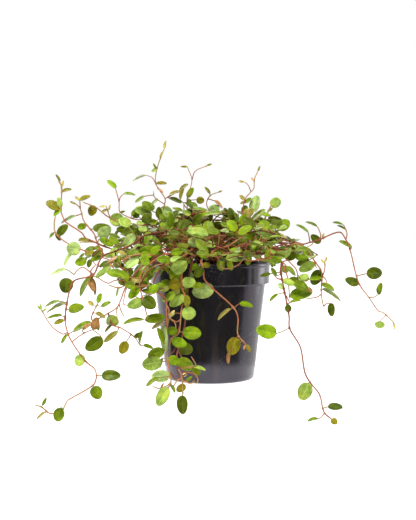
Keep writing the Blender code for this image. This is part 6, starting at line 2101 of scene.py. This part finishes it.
def fill_back(stems, leaves, guard):
    """Leaves along the vines behind the crown, which the photograph hides"""
    draw = random.Random(REAR_SEED)
    front = Coverage(seen_from_front, leaves)
    for stem in stems:
        side = 1
        for spot, onward in walk(stem, *REAR_WALK, draw):
            side = -side
            hidden = in_crown(spot) or stem.vine >= len(VINES)
            high = spot.z > SOIL_TOP + REAR_OVER_SOIL
            if spot.y < REAR_FROM or not hidden or not (high or behind_pot(spot)):
                continue
            for _attempt in range(REAR_TRIES):
                out = sideways(onward, side, draw, REAR_ALONG, REAR_RISE)
                base = spot + out * draw.uniform(*REAR_STALKS)
                length = draw.uniform(*REAR_LENGTHS)
                along = (out + scattered(draw, REAR_SCATTER)).normalized()
                place = facing_place(base, along, any_vector(draw, REAR_FACING))
                leaf = (place, length, length * draw.uniform(*ROUND_LEAF))
                tip = place @ Vector((0, length, 0))
                x, z, _depth = world_to_drawn(np.array([tip]))[0]
                if z > HIDDEN_TOP or abs(x) > HIDDEN_SIDE or front.hides(*leaf) < REAR_OVERLAP:
                    continue
                if add_leaf(guard, leaves, stem.vine, leaf, spot, draw):
                    break


def fill_top(stems, leaves, guard):
    """Leaves over the crown where it is bare from above and the photograph doesn't show them"""
    draw = random.Random(TOP_SEED)
    front = Coverage(seen_from_front, leaves)
    above = Coverage(seen_from_above, leaves)
    spots = [(stem.vine, spot) for stem in stems for spot, _onward in walk(stem, *TOP_WALK, draw)
             if in_crown(spot) and bears_leaves(spot)]
    draw.shuffle(spots)
    for vine, spot in spots:
        for _attempt in range(TOP_TRIES):
            turn = draw.uniform(0, math.tau)
            along = Vector((math.cos(turn), math.sin(turn), draw.uniform(*TOP_RISE))).normalized()
            base = spot + along * draw.uniform(*TOP_STALKS)
            place = facing_place(base, along, any_vector(draw, TOP_FACING))
            length = draw.uniform(*TOP_LENGTHS)
            leaf = (place, length, length * draw.uniform(*ROUND_LEAF))
            if above.hides(*leaf) > TOP_OVERLAP or front.hides(*leaf) < FRONT_OVERLAP:
                continue
            if add_leaf(guard, leaves, vine, leaf, spot, draw):
                above.enter(*leaf)
                break


def tip_leaves(stems, leaves, guard):
    """A few young leaves at the end of each vine behind the crown"""
    draw = random.Random(TIP_SEED)
    for stem in stems:
        if stem.vine < len(VINES) or isinstance(stem, Tangle):
            continue
        end = Vector(stem.points[-1])
        onward = (end - Vector(stem.points[-2])).normalized()
        for side in TIP_SIDES:
            out = onward.orthogonal().normalized() * side
            along = (onward + out * draw.uniform(*TIP_SPREAD)).normalized()
            length = draw.uniform(*TIP_LENGTHS)
            place = facing_place(end + along * TIP_STALK, along, any_vector(draw, TIP_FACING))
            add_leaf(guard, leaves, stem.vine, (place, length, length * TIP_WIDTH), end, draw, "b")


def build_vines(names, stems, leaves, box, collection):
    """A finer piece in place of each vine's solid"""
    materials = [wire_finish(), stalk_finish()]
    for tone, (upper, lower) in TONES.items():
        materials.append(leaf_finish(f"leaf_{tone}_upper", upper, UPPER_GLOSS))
        materials.append(leaf_finish(f"leaf_{tone}_lower", lower, LOWER_GLOSS))
    for number, name in enumerate(names):
        own = [stem for stem in stems if stem.vine == number]
        skin = vine_skin(name, own, leaves[number], number)
        skin.keep_in(*box)
        title = name + "_fine"
        piece = new_object(title, skin.mesh(title, materials), collection)
        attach(piece, "root")
        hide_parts(name)


def rounded(outline, radius):
    """An outline with its corners rounded, except its ends"""
    course = [Vector(outline[0])]
    for before, corner, after in zip(outline, outline[1:], outline[2:]):
        before, corner, after = Vector(before), Vector(corner), Vector(after)
        back = before - corner
        onward = after - corner
        cut = min(radius, LARGEST_CUT * back.length, LARGEST_CUT * onward.length)
        start = corner + back.normalized() * cut
        end = corner + onward.normalized() * cut
        for step in range(CORNER_STEPS + 1):
            t = step / CORNER_STEPS
            course.append(start * (1 - t) ** 2 + corner * 2 * t * (1 - t) + end * t ** 2)
    course.append(Vector(outline[-1]))
    return course


def lathe(name, outline, sides):
    """A turned mesh from an outline of radius and height"""
    edit = bmesh.new()
    rings = []
    for point in outline:
        if point.x < ON_AXIS:
            rings.append([edit.verts.new((0, 0, point.y))])
        else:
            rings.append([edit.verts.new((point.x * math.cos(math.tau * turn / sides),
                                          point.x * math.sin(math.tau * turn / sides), point.y))
                          for turn in range(sides)])
    for low, high in zip(rings, rings[1:]):
        for turn in range(sides):
            beside = (turn + 1) % sides
            if len(low) == 1:
                edit.faces.new((low[0], high[beside], high[turn]))
            elif len(high) == 1:
                edit.faces.new((low[turn], low[beside], high[0]))
            else:
                edit.faces.new((low[turn], low[beside], high[beside], high[turn]))
    bmesh.ops.recalc_face_normals(edit, faces=edit.faces[:])
    return finished(name, edit)


def finished(name, edit):
    """A mesh from what was put together"""
    mesh = bpy.data.meshes.new(name)
    edit.to_mesh(mesh)
    edit.free()
    return mesh


def build_pot(collection):
    """The pot, round and with soft corners, with drain holes through its base"""
    name = "nursery_pot_fine"
    pot = new_object(name, lathe(name, rounded(POT_SECTION, POT_CORNER), POT_ROUND), collection)
    edit = bmesh.new()
    for index in range(DRAIN_HOLES):
        angle = math.tau * (index + 0.5) / DRAIN_HOLES
        place = Matrix.Translation((DRAIN_RING * math.cos(angle), DRAIN_RING * math.sin(angle), 0))
        bmesh.ops.create_cone(edit, cap_ends=True, segments=DRILL_SIDES, radius1=DRAIN_RADIUS,
                              radius2=DRAIN_RADIUS, depth=DRILL_DEPTH, matrix=place)
    drill = new_object("drill", finished("drill", edit), collection)
    cut = pot.modifiers.new("Drain holes", "BOOLEAN")
    cut.operation = "DIFFERENCE"
    cut.object = drill
    bpy.context.view_layer.update()
    shaped = pot.evaluated_get(bpy.context.evaluated_depsgraph_get())
    drilled = bpy.data.meshes.new_from_object(shaped)
    pot.modifiers.clear()
    pot.data = drilled
    bpy.data.objects.remove(drill)
    drilled.polygons.foreach_set("use_smooth", [True] * len(drilled.polygons))
    drilled.set_sharp_from_angle(angle=math.radians(SHARP_ANGLE))
    drilled.materials.clear()
    drilled.materials.append(pot_finish())
    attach(pot, "root")
    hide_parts("nursery_pot")


def build_soil(frame, stems, collection):
    """The soil's material, and crumbs of peat and bark over its top"""
    earth = soil_finish()
    for holder in frame["nodes"]["potting_mix"].material_slots:
        holder.material = earth
    draw = random.Random(CRUMB_SEED)
    feet = [Vector(stem.points[0][:2]) for stem in stems if stem.parent is None]
    edit = bmesh.new()
    for _crumb in range(CRUMBS):
        radius = CRUMB_FIELD * math.sqrt(draw.random())
        angle = draw.uniform(0, math.tau)
        spot = Vector((radius * math.cos(angle), radius * math.sin(angle)))
        size = draw.uniform(*CRUMB_SIZES)
        if min((spot - foot).length for foot in feet) < size + CRUMB_OFF_STEM:
            continue
        top = SOIL_TOP + SOIL_CROWN * (1 - radius / CROWN_REACH) - CRUMB_SUNK
        stretch = Matrix.Diagonal((*any_vector(draw, CRUMB_STRETCH), 1))
        turn = Matrix.Rotation(draw.uniform(0, math.tau), 4, "Z")
        tilt = Matrix.Rotation(draw.uniform(-CRUMB_TILT, CRUMB_TILT), 4, "X")
        place = Matrix.Translation((spot.x, spot.y, top)) @ turn @ tilt @ stretch
        start = Vector((angle * CRUMB_SHIFT[0], radius * CRUMB_SHIFT[1], 0))
        for corner in bmesh.ops.create_icosphere(edit, subdivisions=1, radius=size)["verts"]:
            rough = 1 + CRUMB_ROUGHNESS * noise.noise(corner.co * CRUMB_GRAIN + start)
            corner.co = place @ (corner.co * rough)
    mesh = finished("soil_crumbs", edit)
    mesh.materials.append(earth)
    crumbs = new_object("soil_crumbs", mesh, collection)
    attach(crumbs, "root")


def soft_light(name, place, width, height, power, collection):
    """A soft box that shines at the plant"""
    light = bpy.data.lights.new(name, "AREA")
    light.shape = "RECTANGLE"
    light.size = width
    light.size_y = height
    light.energy = power
    holder = new_object(name, light, collection)
    holder.location = place
    holder.rotation_mode = "QUATERNION"
    holder.rotation_quaternion = (Vector(LIGHT_AIM) - Vector(place)).to_track_quat("-Z", "Y")


def build_world():
    """A white studio for the camera, brighter on the right for reflections and light"""
    world = bpy.data.worlds.new("studio")
    world.use_nodes = True
    tree = world.node_tree
    sky = tree.nodes["Background"]
    place = node(tree, "ShaderNodeTexCoord", {})
    axes = node(tree, "ShaderNodeSeparateXYZ", {0: place.outputs["Generated"]}).outputs
    right = maths(tree, "ADD", axes[1], maths(tree, "MULTIPLY", axes[0], SKY_LEAN))
    above = ranged(tree, axes[2], *SKY_TOP)
    around = maths(tree, "ADD",
                   maths(tree, "MULTIPLY", ranged(tree, right, *SKY_RIGHT),
                         maths(tree, "SUBTRACT", 1.0, above)),
                   maths(tree, "MULTIPLY", above, SKY_TOP_STRENGTH))
    around = maths(tree, "MAXIMUM", around, ranged(tree, axes[2], *SKY_FOOT))
    feed(tree, sky, {"Color": WHITE, "Strength": around})
    seen = node(tree, "ShaderNodeBackground", {"Color": WHITE, "Strength": 1.0})
    rays = node(tree, "ShaderNodeLightPath", {})
    mix = node(tree, "ShaderNodeMixShader",
               {0: rays.outputs["Is Camera Ray"], 1: sky.outputs[0], 2: seen.outputs[0]})
    feed(tree, tree.nodes["World Output"], {"Surface": mix.outputs[0]})
    bpy.context.scene.world = world


def build_studio(collection):
    """The floor, the camera and the lights"""
    mesh = bpy.data.meshes.new("studio_floor")
    corners = [(x * FLOOR_REACH, y * FLOOR_REACH, FLOOR_HEIGHT)
               for x, y in ((-1, -1), (1, -1), (1, 1), (-1, 1))]
    mesh.from_pydata(corners, [], [(0, 1, 2, 3)])
    mesh.materials.append(floor_finish("studio_floor", FLOOR_GLOW))
    floor = new_object("studio_floor", mesh, collection)
    floor.visible_glossy = False
    disc = (Vector((0, NEAR_FLOOR_HEIGHT)), Vector((BASE_RADIUS + NEAR_FLOOR_REACH, NEAR_FLOOR_HEIGHT)))
    mesh = lathe("near_floor", disc, NEAR_FLOOR_SIDES)
    mesh.materials.append(floor_finish("near_floor", NEAR_FLOOR_GLOW))
    near = new_object("near_floor", mesh, collection)
    near.visible_camera = False
    near.visible_diffuse = False
    near.visible_shadow = False
    lens = bpy.data.cameras.new("photo_camera")
    lens.lens = LENS
    lens.sensor_width = SENSOR
    lens.clip_start = NEAREST_SEEN
    camera = new_object("photo_camera", lens, collection)
    camera.location = (CAMERA_SHIFT, -EYE_DISTANCE, EYE_HEIGHT)
    camera.rotation_euler = (math.pi / 2 - CAMERA_PITCH, 0, 0)
    bpy.context.scene.camera = camera
    for light in LIGHTS:
        soft_light(*light, collection)
    build_world()
    bpy.context.scene.view_settings.view_transform = "Standard"


def main():
    """Load the frame, dress it and light it"""
    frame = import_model()
    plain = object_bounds()
    fine = bpy.data.collections.new("Fine pieces")
    studio = bpy.data.collections.new("Studio")
    bpy.context.scene.collection.children.link(fine)
    bpy.context.scene.collection.children.link(studio)
    section = three_sided_section()
    guard = Guard()
    names, stems, leaves = grow(section, guard)
    grow_late_twigs(section, names, stems, guard)
    grow_late_leaves(names, stems, leaves, guard)
    stems += grow_tangle(section, stems, guard)
    bpy.data.objects.remove(section)
    fill_crown(stems, leaves, guard)
    fill_back(stems, leaves, guard)
    fill_top(stems, leaves, guard)
    tip_leaves(stems, leaves, guard)
    build_vines(names, stems, leaves, plain, fine)
    build_pot(fine)
    build_soil(frame, stems, fine)
    build_studio(studio)
    bpy.context.view_layer.update()


main()
